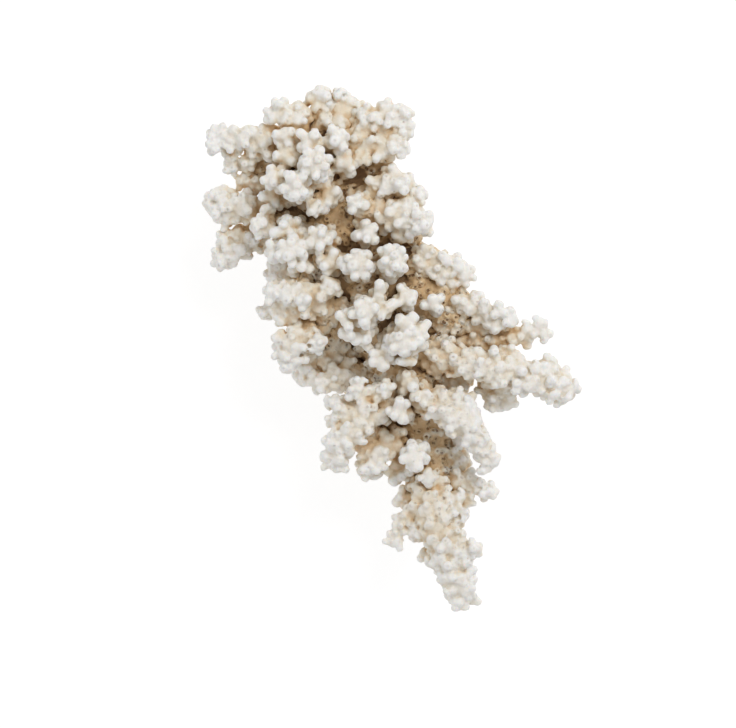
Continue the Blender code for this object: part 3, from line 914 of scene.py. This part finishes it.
@dataclass(frozen=True)
class SkeletonFinish:
    """The matt surface of coral skeleton, from white tips to brown hollows, whose shade is painted in.

    Args:
        name: the material's name.
        white: colour of the youngest skeleton.
        cream: colour of the sides of the cups, partly a light painted shade.
        tan: colour of old skeleton between the cups, partly a painted shade.
        brown: colour of the hollows, a painted shade.
        soil: colour of the deepest hollows, a painted shade.
        hole: colour inside a mouth or a pit, a painted shade.
        age_weight: how much age stains.
        crease_weight: how much painted shade darkens the creases between the cups.
        shelter_start: the share of coral round a place at which its painted shade begins.
        shelter_weight: how fast the painted shade deepens past that.
        mouth: how dark the painted shade inside the cups' mouths is.
        pits: how many of the small pits show.
        rough: how rough the surface is.
        glow: how much of the light enters the skeleton and comes out again.
        glow_depth: how far that light goes, in millimetres.
        glow_tint: how far its red, green and blue go beside each other.
        shine: how strong the reflections are.
        relief: height of the grain, in millimetres.
        relief_strength: how much the grain turns the light.
        pit_relief: height of the pits' rims beside the grain.
    """

    name: str
    white: Colour = (0.86, 0.855, 0.84)
    cream: Colour = (0.78, 0.71, 0.59)
    tan: Colour = (0.74, 0.565, 0.365)
    brown: Colour = (0.64, 0.45, 0.25)
    soil: Colour = (0.26, 0.16, 0.08)
    hole: Colour = (0.24, 0.13, 0.065)
    age_weight: float = 0.38
    crease_weight: float = 0.07
    shelter_start: float = 0.2
    shelter_weight: float = 2.2
    mouth: float = 0.3
    pits: float = 0.5
    rough: float = 0.82
    glow: float = 0.4
    glow_depth: float = 2.5
    glow_tint: Colour = (1.0, 0.82, 0.64)
    shine: float = 0.3
    relief: float = 0.6
    relief_strength: float = 0.9
    pit_relief: float = 1.5

    # How much darker the painted shade in a mouth is on old skeleton
    MOUTH_AGING = 0.6

    def material(self, effects: SharedEffects) -> bpy.types.Material:
        """The finish as a material."""
        material = bpy.data.materials.new(self.name)
        material.use_nodes = True
        nodes = NodeBuilder(material.node_tree)
        shader = material.node_tree.nodes["Principled BSDF"]
        place = nodes.add("ShaderNodeTexCoord").outputs["Object"]
        age, shelter, mouth, proud = (
            nodes.add("ShaderNodeAttribute", attribute_name=name).outputs["Fac"]
            for name in ("age", "shelter", "mouth", "proud")
        )
        stain = nodes.add("ShaderNodeGroup", node_tree=effects.stain)
        nodes.join(place, stain.inputs["Vector"])
        nodes.join(age, stain.inputs["Age"])
        nodes.join(shelter, stain.inputs["Shelter"])
        nodes.join(proud, stain.inputs["Proud"])
        stain.inputs["Age Weight"].default_value = self.age_weight
        stain.inputs["Crease Weight"].default_value = self.crease_weight
        stain.inputs["Shelter Start"].default_value = self.shelter_start
        stain.inputs["Shelter Weight"].default_value = self.shelter_weight
        ramp = nodes.add("ShaderNodeValToRGB")
        nodes.join(stain.outputs["Stain"], ramp.inputs["Fac"])
        # colours from white to brown; the darker steps are mostly painted shade of the hollows
        steps = (
            (0.0, self.white),
            (0.21, self.cream),
            (0.46, self.tan),
            (0.72, self.brown),
            (0.92, self.soil),
        )
        stops = ramp.color_ramp.elements
        while len(stops) < len(steps):
            stops.new(0.5)
        for stop, (position, colour) in zip(stops, steps):
            stop.position = position
            stop.color = (*colour, 1.0)
        grain = nodes.add("ShaderNodeGroup", node_tree=effects.grain)
        nodes.join(place, grain.inputs["Vector"])
        toned = nodes.vector("SCALE", ramp.outputs["Color"], scale=grain.outputs["Tone"])
        pits = nodes.add("ShaderNodeGroup", node_tree=effects.pores)
        nodes.join(place, pits.inputs["Vector"])
        nodes.join(nodes.maths("MULTIPLY", age, self.pits), pits.inputs["Amount"])
        # painted shade inside the cups' mouths and in the pits
        darkness = nodes.maths("MULTIPLY_ADD", age, self.MOUTH_AGING, self.mouth)
        opening = nodes.maths("MULTIPLY", mouth, darkness)
        dark = nodes.maths("MAXIMUM", opening, pits.outputs["Mask"], clamp=True)
        colour = nodes.add("ShaderNodeMix", data_type="RGBA")
        nodes.join(dark, colour.inputs["Factor"])
        nodes.join(toned, colour.inputs["A"])
        colour.inputs["B"].default_value = (*self.hole, 1.0)
        nodes.join(colour.outputs["Result"], shader.inputs["Base Color"])
        nodes.join(nodes.maths("MULTIPLY", grain.outputs["Tone"], self.rough), shader.inputs["Roughness"])
        pitted = nodes.maths("MULTIPLY", pits.outputs["Height"], self.pit_relief)
        relief = nodes.maths("ADD", pitted, grain.outputs["Height"])
        bump = nodes.add("ShaderNodeBump")
        bump.inputs["Distance"].default_value = self.relief * MM
        bump.inputs["Strength"].default_value = self.relief_strength
        nodes.join(relief, bump.inputs["Height"])
        nodes.join(bump.outputs["Normal"], shader.inputs["Normal"])
        shader.inputs["Specular IOR Level"].default_value = self.shine
        shader.inputs["Subsurface Weight"].default_value = self.glow
        shader.inputs["Subsurface Radius"].default_value = self.glow_tint
        shader.inputs["Subsurface Scale"].default_value = self.glow_depth * MM
        return material


class Slot(Enum):
    """The slots, each with the finish of its own skeleton."""

    TRUNK = "old_skeleton"
    LIMB = "limb_skeleton"
    ARM = "arm_skeleton"

    def finish(self) -> SkeletonFinish:
        """The finish of the slot: the older the skeleton, the more it is stained and pitted."""
        if self is Slot.TRUNK:
            return SkeletonFinish(self.value, age_weight=0.26, pits=0.9)
        if self is Slot.LIMB:
            return SkeletonFinish(self.value, age_weight=0.2, pits=0.7)
        return SkeletonFinish(self.value)


Materials = dict[Slot, bpy.types.Material]


class Growth:
    """A part of the colony: one piece of coral for each of its frame nodes.

    A sub-class holds the limbs of each node in a field of the node's name.
    """

    def slot(self, node: str) -> Slot:
        """The slot of a node's piece."""
        return Slot.ARM

    def pieces(self) -> dict[str, Limbs]:
        """The limbs of each node."""
        return {entry.name: getattr(self, entry.name) for entry in fields(self)}

    def limbs(self) -> list[Limb]:
        """Every limb of this part."""
        return [limb for limbs in self.pieces().values() for limb in limbs]

    def build(self, sculptor: Sculptor, materials: Materials, seed: int) -> list[bpy.types.Object]:
        """Sculpts and dresses every piece of this part.

        Args:
            sculptor: what grows the limbs together.
            materials: the material of each slot.
            seed: a number of this part's own.

        Returns:
            The finished pieces.
        """
        built = []
        for number, (node, limbs) in enumerate(self.pieces().items()):
            slot = self.slot(node)
            piece = sculptor.sculpt(f"{node}_coral", limbs, seed + number)
            piece.data.materials.append(materials[slot])
            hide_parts(node)
            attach(piece, "root")
            LOG.info("%s: %d faces", piece.name, len(piece.data.polygons))
            built.append(piece)
        return built


@dataclass(frozen=True)
class TrunkAndLimbs(Growth):
    """The stump over the cut and the main limbs, with the rosettes that stand on them."""

    trunk: Limbs = (
        Limb(((0, 0, 0), (0, 0, 10), (0, 0, 20), (-1, 1, 34)), 23, 15, Cups.PITS, wide=1.1),
        Limb(((-4, -2, 33), (-16, -8, 39), (-29, -10, 40)), 12, 8, Cups.PITS, wide=1.3),
        Limb(((4, 2, 36), (19, 2, 44), (34, -4, 45)), 12, 8, Cups.PITS, wide=1.3),
        Limb(((-14, 9, 42), (-4, 6, 48), (8, 4, 48)), 8, 7, Cups.PITS),
        Limb(((8, 10, 33), (20, 16, 37), (28, 14, 38)), 8, 6, Cups.PITS),
        Limb(((8, -6, 35), (30, -8, 45), (50, -10, 47)), 8, 5, Cups.SMALL),
        Limb(((-6, -10, 34), (-19, -24, 38)), 9, 7, Cups.SMALL),
        Limb(((-6, 6, 33), (-25, 9, 37)), 9, 7, Cups.PITS),
        Limb(((-3, 11, 42), (-5, 14, 71)), 5.0, 4.4, Cups.LARGE),
        Limb(((-4, 12, 62), (-10, 16, 66)), 2.8, 2.4, Cups.LARGE),
        Limb(((6, 12, 44), (9, 16, 70)), 5.2, 4.6, Cups.LARGE),
        Limb(((13, 0, 44), (14, 1, 66)), 3.8, 3.0, Cups.LARGE),
        Limb(((25, -1, 46), (25, -2, 65)), 3.0, 2.4, Cups.LARGE),
        Limb(((-2, -4, 44), (-2, -5, 73)), 5.4, 4.2, Cups.LARGE),
        Limb(((-3, -6, 60), (-10, -9, 69)), 3.0, 2.6, Cups.LARGE),
        Limb(((-3, -7, 58), (-9, -15, 66)), 3.0, 2.6, Cups.LARGE),
        Limb(((-1, -7, 56), (-3, -17, 62)), 3.2, 2.8, Cups.LARGE),
        Limb(((0, -4, 62), (7, -4, 68)), 2.8, 2.2, Cups.LARGE),
        Limb(((0, -2, 60), (5, 4, 68)), 2.6, 2.2, Cups.LARGE),
    )

    upper_limb: Limbs = (
        Limb(((-4, 10, 36), (-11, 24, 40), (-18, 46, 41), (-16, 64, 43)), 14, 10.5, Cups.PITS, wide=1.3),
        Limb(((-14, 32, 36), (-27, 33, 40), (-42, 33, 40)), 10, 8, Cups.PITS, wide=1.2),
        Limb(((-12, 60, 42), (-2, 66, 48), (8, 68, 49)), 9, 6.5, Cups.SMALL),
        Limb(((-12, 50, 40), (-2, 53, 43), (6, 55, 43)), 8, 6, Cups.PITS),
        Limb(((-10, 38, 40), (2, 44, 44), (12, 44, 46)), 9, 7, Cups.PITS),
        Limb(((-10, 26, 38), (6, 29, 41), (18, 28, 42)), 9, 6, Cups.PITS),
        Limb(((-20, 52, 38), (-36, 55, 38), (-45, 54, 38)), 9, 6, Cups.PITS),
        Limb(((-18, 62, 44), (-27, 70, 46)), 8, 6, Cups.SMALL),
        Limb(((-16, 48, 45), (-18, 60, 49)), 8, 7, Cups.SMALL),
        Limb(((-14, 62, 44), (-10, 74, 47)), 8, 6, Cups.SMALL),
        Limb(((-18, 22, 34), (-38, 13, 35)), 9, 6, Cups.SMALL),
        Limb(((-22, 60, 46), (-24, 63, 69)), 4.2, 3.4, Cups.LARGE),
        Limb(((-15, 60, 46), (-13, 64, 69)), 4.0, 3.2, Cups.LARGE),
        Limb(((-12, 52, 46), (-9, 55, 64)), 3.4, 2.8, Cups.LARGE),
        Limb(((-20, 50, 46), (-22, 54, 74)), 5.4, 4.6, Cups.LARGE),
        Limb(((-26, 44, 44), (-30, 45, 73)), 5.0, 4.2, Cups.LARGE),
        Limb(((-28, 44, 44), (-39, 49, 65)), 4.0, 3.2, Cups.LARGE),
        Limb(((-26, 54, 44), (-34, 58, 63)), 4.4, 3.6, Cups.LARGE),
        Limb(((-28, 60, 46), (-34, 66, 64)), 3.8, 3.0, Cups.LARGE),
        Limb(((-32, 40, 42), (-40, 42, 56)), 3.4, 2.6, Cups.LARGE),
        Limb(((-14, 40, 44), (-17, 42, 60)), 4.2, 3.2, Cups.LARGE),
        Limb(((-18, 38, 46), (-22, 37, 66)), 2.8, 2.2, Cups.SMALL),
        Limb(((-28, 30, 42), (-34, 28, 64)), 3.4, 2.8, Cups.LARGE),
        Limb(((-24, 26, 42), (-32, 19, 69)), 5.2, 4.4, Cups.LARGE),
        Limb(((-29, 20, 60), (-39, 19, 63)), 3.2, 2.6, Cups.LARGE),
        Limb(((-26, 19, 56), (-28, 13, 63)), 3.0, 2.4, Cups.LARGE),
        Limb(((-15, 25, 44), (-21, 24, 66)), 4.8, 4.0, Cups.LARGE),
        Limb(((-12, 16, 42), (-16, 15, 65)), 4.0, 3.2, Cups.LARGE),
        Limb(((-4, 27, 44), (-1, 26, 67)), 3.4, 2.8, Cups.LARGE),
    )

    lower_limb: Limbs = (
        Limb(((4, -8, 36), (14, -26, 40), (20, -50, 36), (25, -76, 38)), 14, 8.5, Cups.PITS, wide=1.1),
        Limb(((8, -20, 32), (-8, -33, 28)), 9, 7.5, Cups.PITS),
        Limb(((16, -28, 38), (38, -33, 42)), 9, 6, Cups.SMALL),
        Limb(((24, -52, 36), (36, -54, 37)), 8, 6, Cups.SMALL),
        Limb(((22, -58, 36), (11, -62, 38)), 7, 5.5, Cups.SMALL),
        Limb(((26, -64, 36), (37, -65, 38)), 7.5, 5.5, Cups.SMALL),
        Limb(((16, -46, 36), (2, -52, 36)), 8, 6, Cups.PITS),
        Limb(((9, -14, 44), (13, -17, 72)), 5.0, 4.0, Cups.LARGE),
        Limb(((12, -14, 60), (15, -9, 70)), 3.2, 2.6, Cups.LARGE),
        Limb(((13, -14, 60), (21, -12, 69)), 3.2, 2.8, Cups.LARGE),
        Limb(((12, -18, 60), (21, -18, 67)), 3.0, 2.4, Cups.LARGE),
        Limb(((9, -19, 56), (4, -25, 66)), 3.2, 2.6, Cups.LARGE),
        Limb(((13, -19, 56), (15, -25, 64)), 2.8, 2.2, Cups.LARGE),
        Limb(((14, -32, 44), (15, -33, 60)), 3.6, 3.0, Cups.LARGE),
        Limb(((15, -43, 44), (11, -44, 64)), 3.6, 2.8, Cups.LARGE),
        Limb(((20, -60, 42), (17, -63, 66)), 4.2, 3.4, Cups.LARGE),
        Limb(((20, -64, 42), (10, -71, 45)), 3.8, 2.8, Cups.LARGE),
        Limb(((22, -72, 42), (24, -70, 54)), 2.6, 2.0, Cups.SMALL),
    )

    def slot(self, node: str) -> Slot:
        """The old skeleton of the trunk, and that of the limbs."""
        return Slot.TRUNK if node == "trunk" else Slot.LIMB


@dataclass(frozen=True)
class LeftArms(Growth):
    """The arms at the upper left."""

    left_arm: Limbs = (
        Limb(((-27, 58, 45), (-48, 65, 53), (-63, 64, 52)), 5.4, 4.0, Cups.MEDIUM),
        Limb(((-38, 62, 49), (-41, 69, 54)), 3.2, 2.6, Cups.SMALL),
        Limb(((-45, 62, 50), (-50, 53, 46)), 3.8, 3.0, Cups.SMALL),
        Limb(((-54, 62, 50), (-57, 54, 46)), 2.0, 1.6, Cups.SMALL),
    )

    left_short_arm: Limbs = (
        Limb(((-32, 46, 40), (-44, 47, 43), (-53, 48, 42)), 3.0, 2.6, Cups.SMALL),
    )

    left_middle_arm: Limbs = (
        Limb(((-38, 34, 40), (-52, 38, 46), (-65, 38, 44)), 4.8, 3.6, Cups.MEDIUM),
        Limb(((-50, 38, 44), (-59, 31, 42)), 3.2, 2.4, Cups.SMALL),
        Limb(((-52, 38, 45), (-60, 44, 44)), 3.0, 2.4, Cups.SMALL),
    )

    left_lower_arm: Limbs = (
        Limb(((-36, 29, 34), (-50, 23, 41), (-60, 16, 40)), 4.8, 4.0, Cups.MEDIUM),
        Limb(((-46, 26, 40), (-59, 26, 40)), 3.8, 3.2, Cups.SMALL),
    )

    left_front_arm: Limbs = (
        Limb(((-34, 33, 42), (-41, 30, 54), (-45, 30, 60)), 3.6, 3.0, Cups.SMALL),
        Limb(((-40, 32, 52), (-42, 37, 58)), 2.6, 2.2, Cups.SMALL),
    )


@dataclass(frozen=True)
class CrownArms(Growth):
    """The arms at the top."""

    crown_left_arm: Limbs = (
        Limb(((-21, 58, 46), (-30, 70, 56), (-37, 75, 57)), 5.8, 4.6, Cups.MEDIUM),
        Limb(((-26, 66, 54), (-28, 77, 57)), 4.0, 3.4, Cups.MEDIUM),
    )

    crown_top_arm: Limbs = (
        Limb(((-18, 62, 46), (-19, 75, 54), (-21, 83, 53)), 5.4, 4.0, Cups.MEDIUM),
    )

    crown_middle_arm: Limbs = (
        Limb(((-13, 62, 46), (-12, 73, 54), (-13, 81, 52)), 4.4, 3.6, Cups.MEDIUM),
        Limb(((-11, 68, 51), (-4, 78, 51)), 3.8, 3.0, Cups.MEDIUM),
        Limb(((-12, 70, 52), (-8, 81, 51)), 3.4, 2.8, Cups.SMALL),
    )

    crown_right_arm: Limbs = (
        Limb(((-12, 58, 48), (2, 70, 57), (14, 74, 57)), 6.0, 4.2, Cups.MEDIUM),
        Limb(((-2, 64, 55), (6, 61, 60), (12, 63, 59)), 4.6, 3.6, Cups.MEDIUM),
        Limb(((0, 70, 56), (8, 78, 55)), 4.0, 3.0, Cups.SMALL),
        Limb(((-4, 67, 55), (0, 77, 55)), 3.2, 2.6, Cups.SMALL),
        Limb(((6, 70, 57), (15, 67, 56)), 3.4, 3.0, Cups.SMALL),
        Limb(((-6, 60, 54), (-2, 56, 61)), 3.6, 3.0, Cups.SMALL),
        Limb(((4, 62, 58), (6, 57, 59)), 3.2, 2.6, Cups.SMALL),
    )


@dataclass(frozen=True)
class RightArms(Growth):
    """The arms on the right, the longest among them."""

    right_shoulder_arm: Limbs = (
        Limb(((-3, 41, 46), (7, 46, 58), (14, 47, 60)), 5.8, 4.4, Cups.MEDIUM),
    )

    right_upper_arm: Limbs = (
        Limb(((-4, 33, 46), (10, 34, 60), (22, 30, 61)), 6.0, 4.6, Cups.MEDIUM),
        Limb(((10, 35, 60), (20, 40, 59)), 3.4, 2.8, Cups.SMALL),
        Limb(((0, 36, 56), (-6, 40, 63)), 3.6, 3.0, Cups.SMALL),
        Limb(((12, 33, 58), (14, 25, 56)), 3.6, 3.0, Cups.SMALL),
    )

    right_middle_arm: Limbs = (
        Limb(((11, 12, 42), (26, 14, 52), (38, 11, 50)), 6.0, 4.4, Cups.MEDIUM),
        Limb(((18, 14, 50), (24, 20, 54)), 3.6, 3.0, Cups.SMALL),
        Limb(((24, 12, 50), (34, 5, 50)), 3.4, 2.8, Cups.SMALL),
    )

    right_third_arm: Limbs = (
        Limb(((27, -3, 42), (42, -3, 53), (56, -9, 53)), 5.0, 3.6, Cups.MEDIUM),
        Limb(((38, -3, 51), (43, 1, 52)), 2.8, 2.2, Cups.SMALL),
    )

    right_fourth_arm: Limbs = (
        Limb(((32, -15, 41), (50, -17, 47), (69, -11, 50)), 4.6, 3.2, Cups.SMALL),
        Limb(((56, -14, 48), (64, -17, 48)), 2.8, 2.2, Cups.SMALL),
    )

    right_long_arm: Limbs = (
        Limb(((18, -20, 46), (40, -25, 58), (64, -31, 55), (79, -36, 51)), 6.6, 6.0, Cups.MEDIUM),
        Limb(((62, -30, 54), (74, -26, 52)), 3.6, 3.0, Cups.SMALL),
        Limb(((48, -26, 56), (57, -20, 54)), 3.2, 2.6, Cups.SMALL),
        Limb(((46, -27, 52), (50, -42, 46)), 4.2, 3.4, Cups.SMALL),
        Limb(((52, -30, 52), (57, -42, 49)), 3.4, 2.8, Cups.SMALL),
    )


@dataclass(frozen=True)
class LowerArms(Growth):
    """The arms at the lower end, and the long spire."""

    lower_right_arm: Limbs = (
        Limb(((17, -38, 46), (29, -43, 60), (41, -53, 59), (48, -65, 53)), 6.0, 4.2, Cups.MEDIUM),
        Limb(((26, -40, 58), (40, -40, 59)), 4.0, 3.2, Cups.SMALL),
        Limb(((30, -46, 60), (42, -47, 60)), 3.6, 3.0, Cups.SMALL),
        Limb(((22, -40, 54), (19, -38, 63)), 3.4, 2.8, Cups.SMALL),
    )

    lower_small_arm: Limbs = (
        Limb(((26, -73, 38), (40, -74, 42), (48, -78, 41)), 4.6, 3.2, Cups.SMALL),
        Limb(((32, -74, 41), (40, -80, 42)), 3.2, 2.6, Cups.SMALL),
    )

    lower_spire: Limbs = (
        Limb(((24, -74, 42), (26, -88, 49), (32, -106, 48), (37.5, -120, 44)), 7.6, 5.8, Cups.MEDIUM),
        Limb(((27, -80, 46), (36, -81, 46)), 3.8, 3.2, Cups.SMALL),
        Limb(((30, -93, 48), (37, -95, 48)), 3.4, 2.8, Cups.SMALL),
        Limb(((26, -93, 46), (17, -94, 44)), 3.4, 2.8, Cups.SMALL),
        Limb(((22, -82, 46), (14, -89, 44), (8, -98, 41)), 3.6, 2.6, Cups.SMALL),
        Limb(((28, -86, 48), (37, -88, 48)), 3.6, 3.0, Cups.SMALL),
        Limb(((32, -100, 48), (44, -100, 50)), 3.4, 2.6, Cups.SMALL),
        Limb(((29, -102, 46), (22, -103, 43)), 2.6, 2.2, Cups.SMALL),
        Limb(((22, -79, 42), (11, -80, 39)), 3.2, 2.6, Cups.SMALL),
    )

    lower_left_arm: Limbs = (
        Limb(((8, -39, 41), (-2, -46, 55), (-10, -56, 57), (-15, -65, 53)), 6.8, 5.4, Cups.MEDIUM),
        Limb(((-1, -42, 57), (-6, -34, 62)), 3.2, 2.6, Cups.SMALL),
        Limb(((2, -40, 57), (7, -34, 62)), 3.0, 2.4, Cups.SMALL),
        Limb(((-5, -46, 56), (-15, -40, 55)), 3.4, 2.8, Cups.SMALL),
        Limb(((-8, -48, 56), (-16, -48, 54)), 3.4, 2.8, Cups.SMALL),
    )

    lower_second_arm: Limbs = (
        Limb(((12, -53, 40), (4, -61, 50), (-1, -69, 47)), 5.4, 4.4, Cups.MEDIUM),
        Limb(((5, -60, 49), (-3, -59, 47)), 3.4, 2.8, Cups.SMALL),
    )


@dataclass(frozen=True)
class FanArms(Growth):
    """The broad arms at the middle left."""

    left_fan_arm: Limbs = (
        Limb(((-14, -4, 44), (-26, 1, 60), (-37, 4, 59)), 6.8, 4.4, Cups.MEDIUM),
        Limb(((-24, 0, 60), (-14, 5, 63)), 4.0, 3.2, Cups.MEDIUM),
        Limb(((-28, 2, 59), (-39, 8, 55)), 3.8, 3.0, Cups.SMALL),
        Limb(((-27, -2, 58), (-35, -9, 55)), 3.2, 2.6, Cups.SMALL),
        Limb(((-30, 0, 58), (-43, -5, 54)), 3.2, 2.4, Cups.SMALL),
        Limb(((-24, 1, 58), (-27, 6, 59)), 3.4, 2.8, Cups.SMALL),
    )

    left_down_arm: Limbs = (
        Limb(((-20, -11, 44), (-30, -17, 57), (-32.5, -26, 53)), 6.0, 4.6, Cups.MEDIUM),
        Limb(((-25, -14, 55), (-19, -17, 62)), 2.8, 2.4, Cups.SMALL),
        Limb(((-29, -18, 56), (-37, -14, 57)), 3.0, 2.4, Cups.SMALL),
    )

    left_shaded_arm: Limbs = (
        Limb(((-16, -14, 34), (-24, -24, 38), (-27, -31, 38)), 5.2, 4.2, Cups.SMALL),
    )

    left_bottom_arm: Limbs = (
        Limb(((-6, -27, 36), (-15, -32, 46), (-21, -34, 43)), 5.0, 3.8, Cups.MEDIUM),
    )


@dataclass(frozen=True)
class StumpArms(Growth):
    """The low arms round the stump."""

    stump_back_arm: Limbs = (
        Limb(((8, 12, 18), (14, 24, 22), (12, 34, 22)), 5.4, 4.0, Cups.MEDIUM),
    )

    stump_left_arm: Limbs = (
        Limb(((-10, 10, 16), (-24, 18, 20), (-36, 16, 20)), 5.6, 4.0, Cups.MEDIUM),
    )

    stump_front_arm: Limbs = (
        Limb(((-12, -10, 18), (-24, -22, 22), (-26, -32, 23)), 5.4, 4.0, Cups.MEDIUM),
    )

    stump_right_arm: Limbs = (
        Limb(((12, -10, 16), (28, -20, 20), (40, -20, 22)), 5.6, 4.0, Cups.MEDIUM),
    )


@dataclass(frozen=True)
class Studio:
    """The plain pale floor, the soft lights and the camera over the coral.

    Args:
        camera_height: how high the camera hangs over the floor, in metres.
        focus_height: the height at which a pixel measures what PIXEL says, in metres.
        floor_half: half the width of the floor, in metres.
        floor_tone: how pale the floor is.
        floor_glow: how much light the floor gives of its own, which keeps it white under the coral.
        sky: brightness of the light from all round.
        key_power: power of the main light, in watts.
        fill_power: power of the light from the other side, in watts.
    """

    camera_height: float = 1.5
    focus_height: float = 0.055
    floor_half: float = 3.0
    floor_tone: float = 0.3
    floor_glow: float = 0.8
    sky: float = 0.55
    key_power: float = 8.4
    fill_power: float = 2.5

    SENSOR = 36.0
    KEY_PLACE = (0.5, 0.6, 1.15)
    KEY_SIZE = 0.6
    KEY_TINT = (1.0, 0.99, 0.975)
    FILL_PLACE = (-0.9, -0.5, 0.8)
    FILL_SIZE = 1.2
    FILL_TINT = (0.96, 0.98, 1.0)
    SKY_TINT = (1.0, 0.995, 0.985, 1.0)

    def floor(self) -> bpy.types.Object:
        """The floor that the coral stands on."""
        reach = self.floor_half
        corners = [(-reach, -reach, 0), (reach, -reach, 0), (reach, reach, 0), (-reach, reach, 0)]
        mesh = bpy.data.meshes.new("floor")
        mesh.from_pydata(corners, [], [(0, 1, 2, 3)])
        floor = bpy.data.objects.new("floor", mesh)
        material = bpy.data.materials.new("pale_floor")
        material.use_nodes = True
        shader = material.node_tree.nodes["Principled BSDF"]
        tone = (self.floor_tone, self.floor_tone, self.floor_tone, 1.0)
        shader.inputs["Base Color"].default_value = tone
        shader.inputs["Roughness"].default_value = 1.0
        shader.inputs["Specular IOR Level"].default_value = 0.0
        shader.inputs["Emission Color"].default_value = (1.0, 1.0, 1.0, 1.0)
        shader.inputs["Emission Strength"].default_value = self.floor_glow
        mesh.materials.append(material)
        bpy.context.scene.collection.objects.link(floor)
        return floor

    def light(self, name: str, place: Point, size: float, power: float, tint: Colour) -> bpy.types.Object:
        """A square soft light that shines at the coral.

        Args:
            name: the light's name.
            place: where it hangs, in metres.
            size: width of the square, in metres.
            power: its power in watts.
            tint: its colour.

        Returns:
            The light.
        """
        lamp = bpy.data.lights.new(name, "AREA")
        lamp.shape = "SQUARE"
        lamp.size = size
        lamp.energy = power
        lamp.color = tint
        light = bpy.data.objects.new(name, lamp)
        light.location = place
        towards = Vector((0, 0, self.focus_height)) - Vector(place)
        light.rotation_euler = towards.to_track_quat("-Z", "Y").to_euler()
        bpy.context.scene.collection.objects.link(light)
        return light

    def camera(self) -> bpy.types.Object:
        """The camera, straight above, framed as the photograph is."""
        lens = bpy.data.cameras.new("camera")
        lens.sensor_width = self.SENSOR
        lens.sensor_fit = "HORIZONTAL"
        distance = self.camera_height - self.focus_height
        lens.lens = self.SENSOR * distance / (PHOTO_WIDTH * PIXEL * MM)
        camera = bpy.data.objects.new("camera", lens)
        column = PHOTO_WIDTH / 2 - ORIGIN_COLUMN
        row = ORIGIN_ROW - PHOTO_HEIGHT / 2
        camera.location = (column * PIXEL * MM, row * PIXEL * MM, self.camera_height)
        bpy.context.scene.collection.objects.link(camera)
        bpy.context.scene.camera = camera
        return camera

    def build(self) -> None:
        """Sets up the floor, the lights, the world and the camera."""
        self.floor()
        self.light("key", self.KEY_PLACE, self.KEY_SIZE, self.key_power, self.KEY_TINT)
        self.light("fill", self.FILL_PLACE, self.FILL_SIZE, self.fill_power, self.FILL_TINT)
        world = bpy.data.worlds.new("studio")
        world.use_nodes = True
        background = world.node_tree.nodes["Background"]
        background.inputs["Color"].default_value = self.SKY_TINT
        background.inputs["Strength"].default_value = self.sky
        bpy.context.scene.world = world
        bpy.context.scene.view_settings.view_transform = "Standard"
        self.camera()


# How far apart the seeds of two parts of the colony are
SEEDS_APART = 100


def main() -> None:
    """Builds the coral and its studio, and reports each piece."""
    logging.basicConfig(level=logging.INFO, format="%(message)s", stream=sys.stdout)
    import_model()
    growths = [TrunkAndLimbs(), LeftArms(), CrownArms(), RightArms(), LowerArms(), FanArms(), StumpArms()]
    cores = [Core(limb) for growth in growths for limb in growth.limbs()]
    sculptor = Sculptor(Shelter(cores))
    effects = SharedEffects()
    materials = {slot: slot.finish().material(effects) for slot in Slot}
    total = 0
    for number, growth in enumerate(growths):
        pieces = growth.build(sculptor, materials, SEEDS_APART * (number + 1))
        total += sum(len(piece.data.polygons) for piece in pieces)
    LOG.info("the coral: %d faces", total)
    Studio().build()


if __name__ == "__main__":
    main()
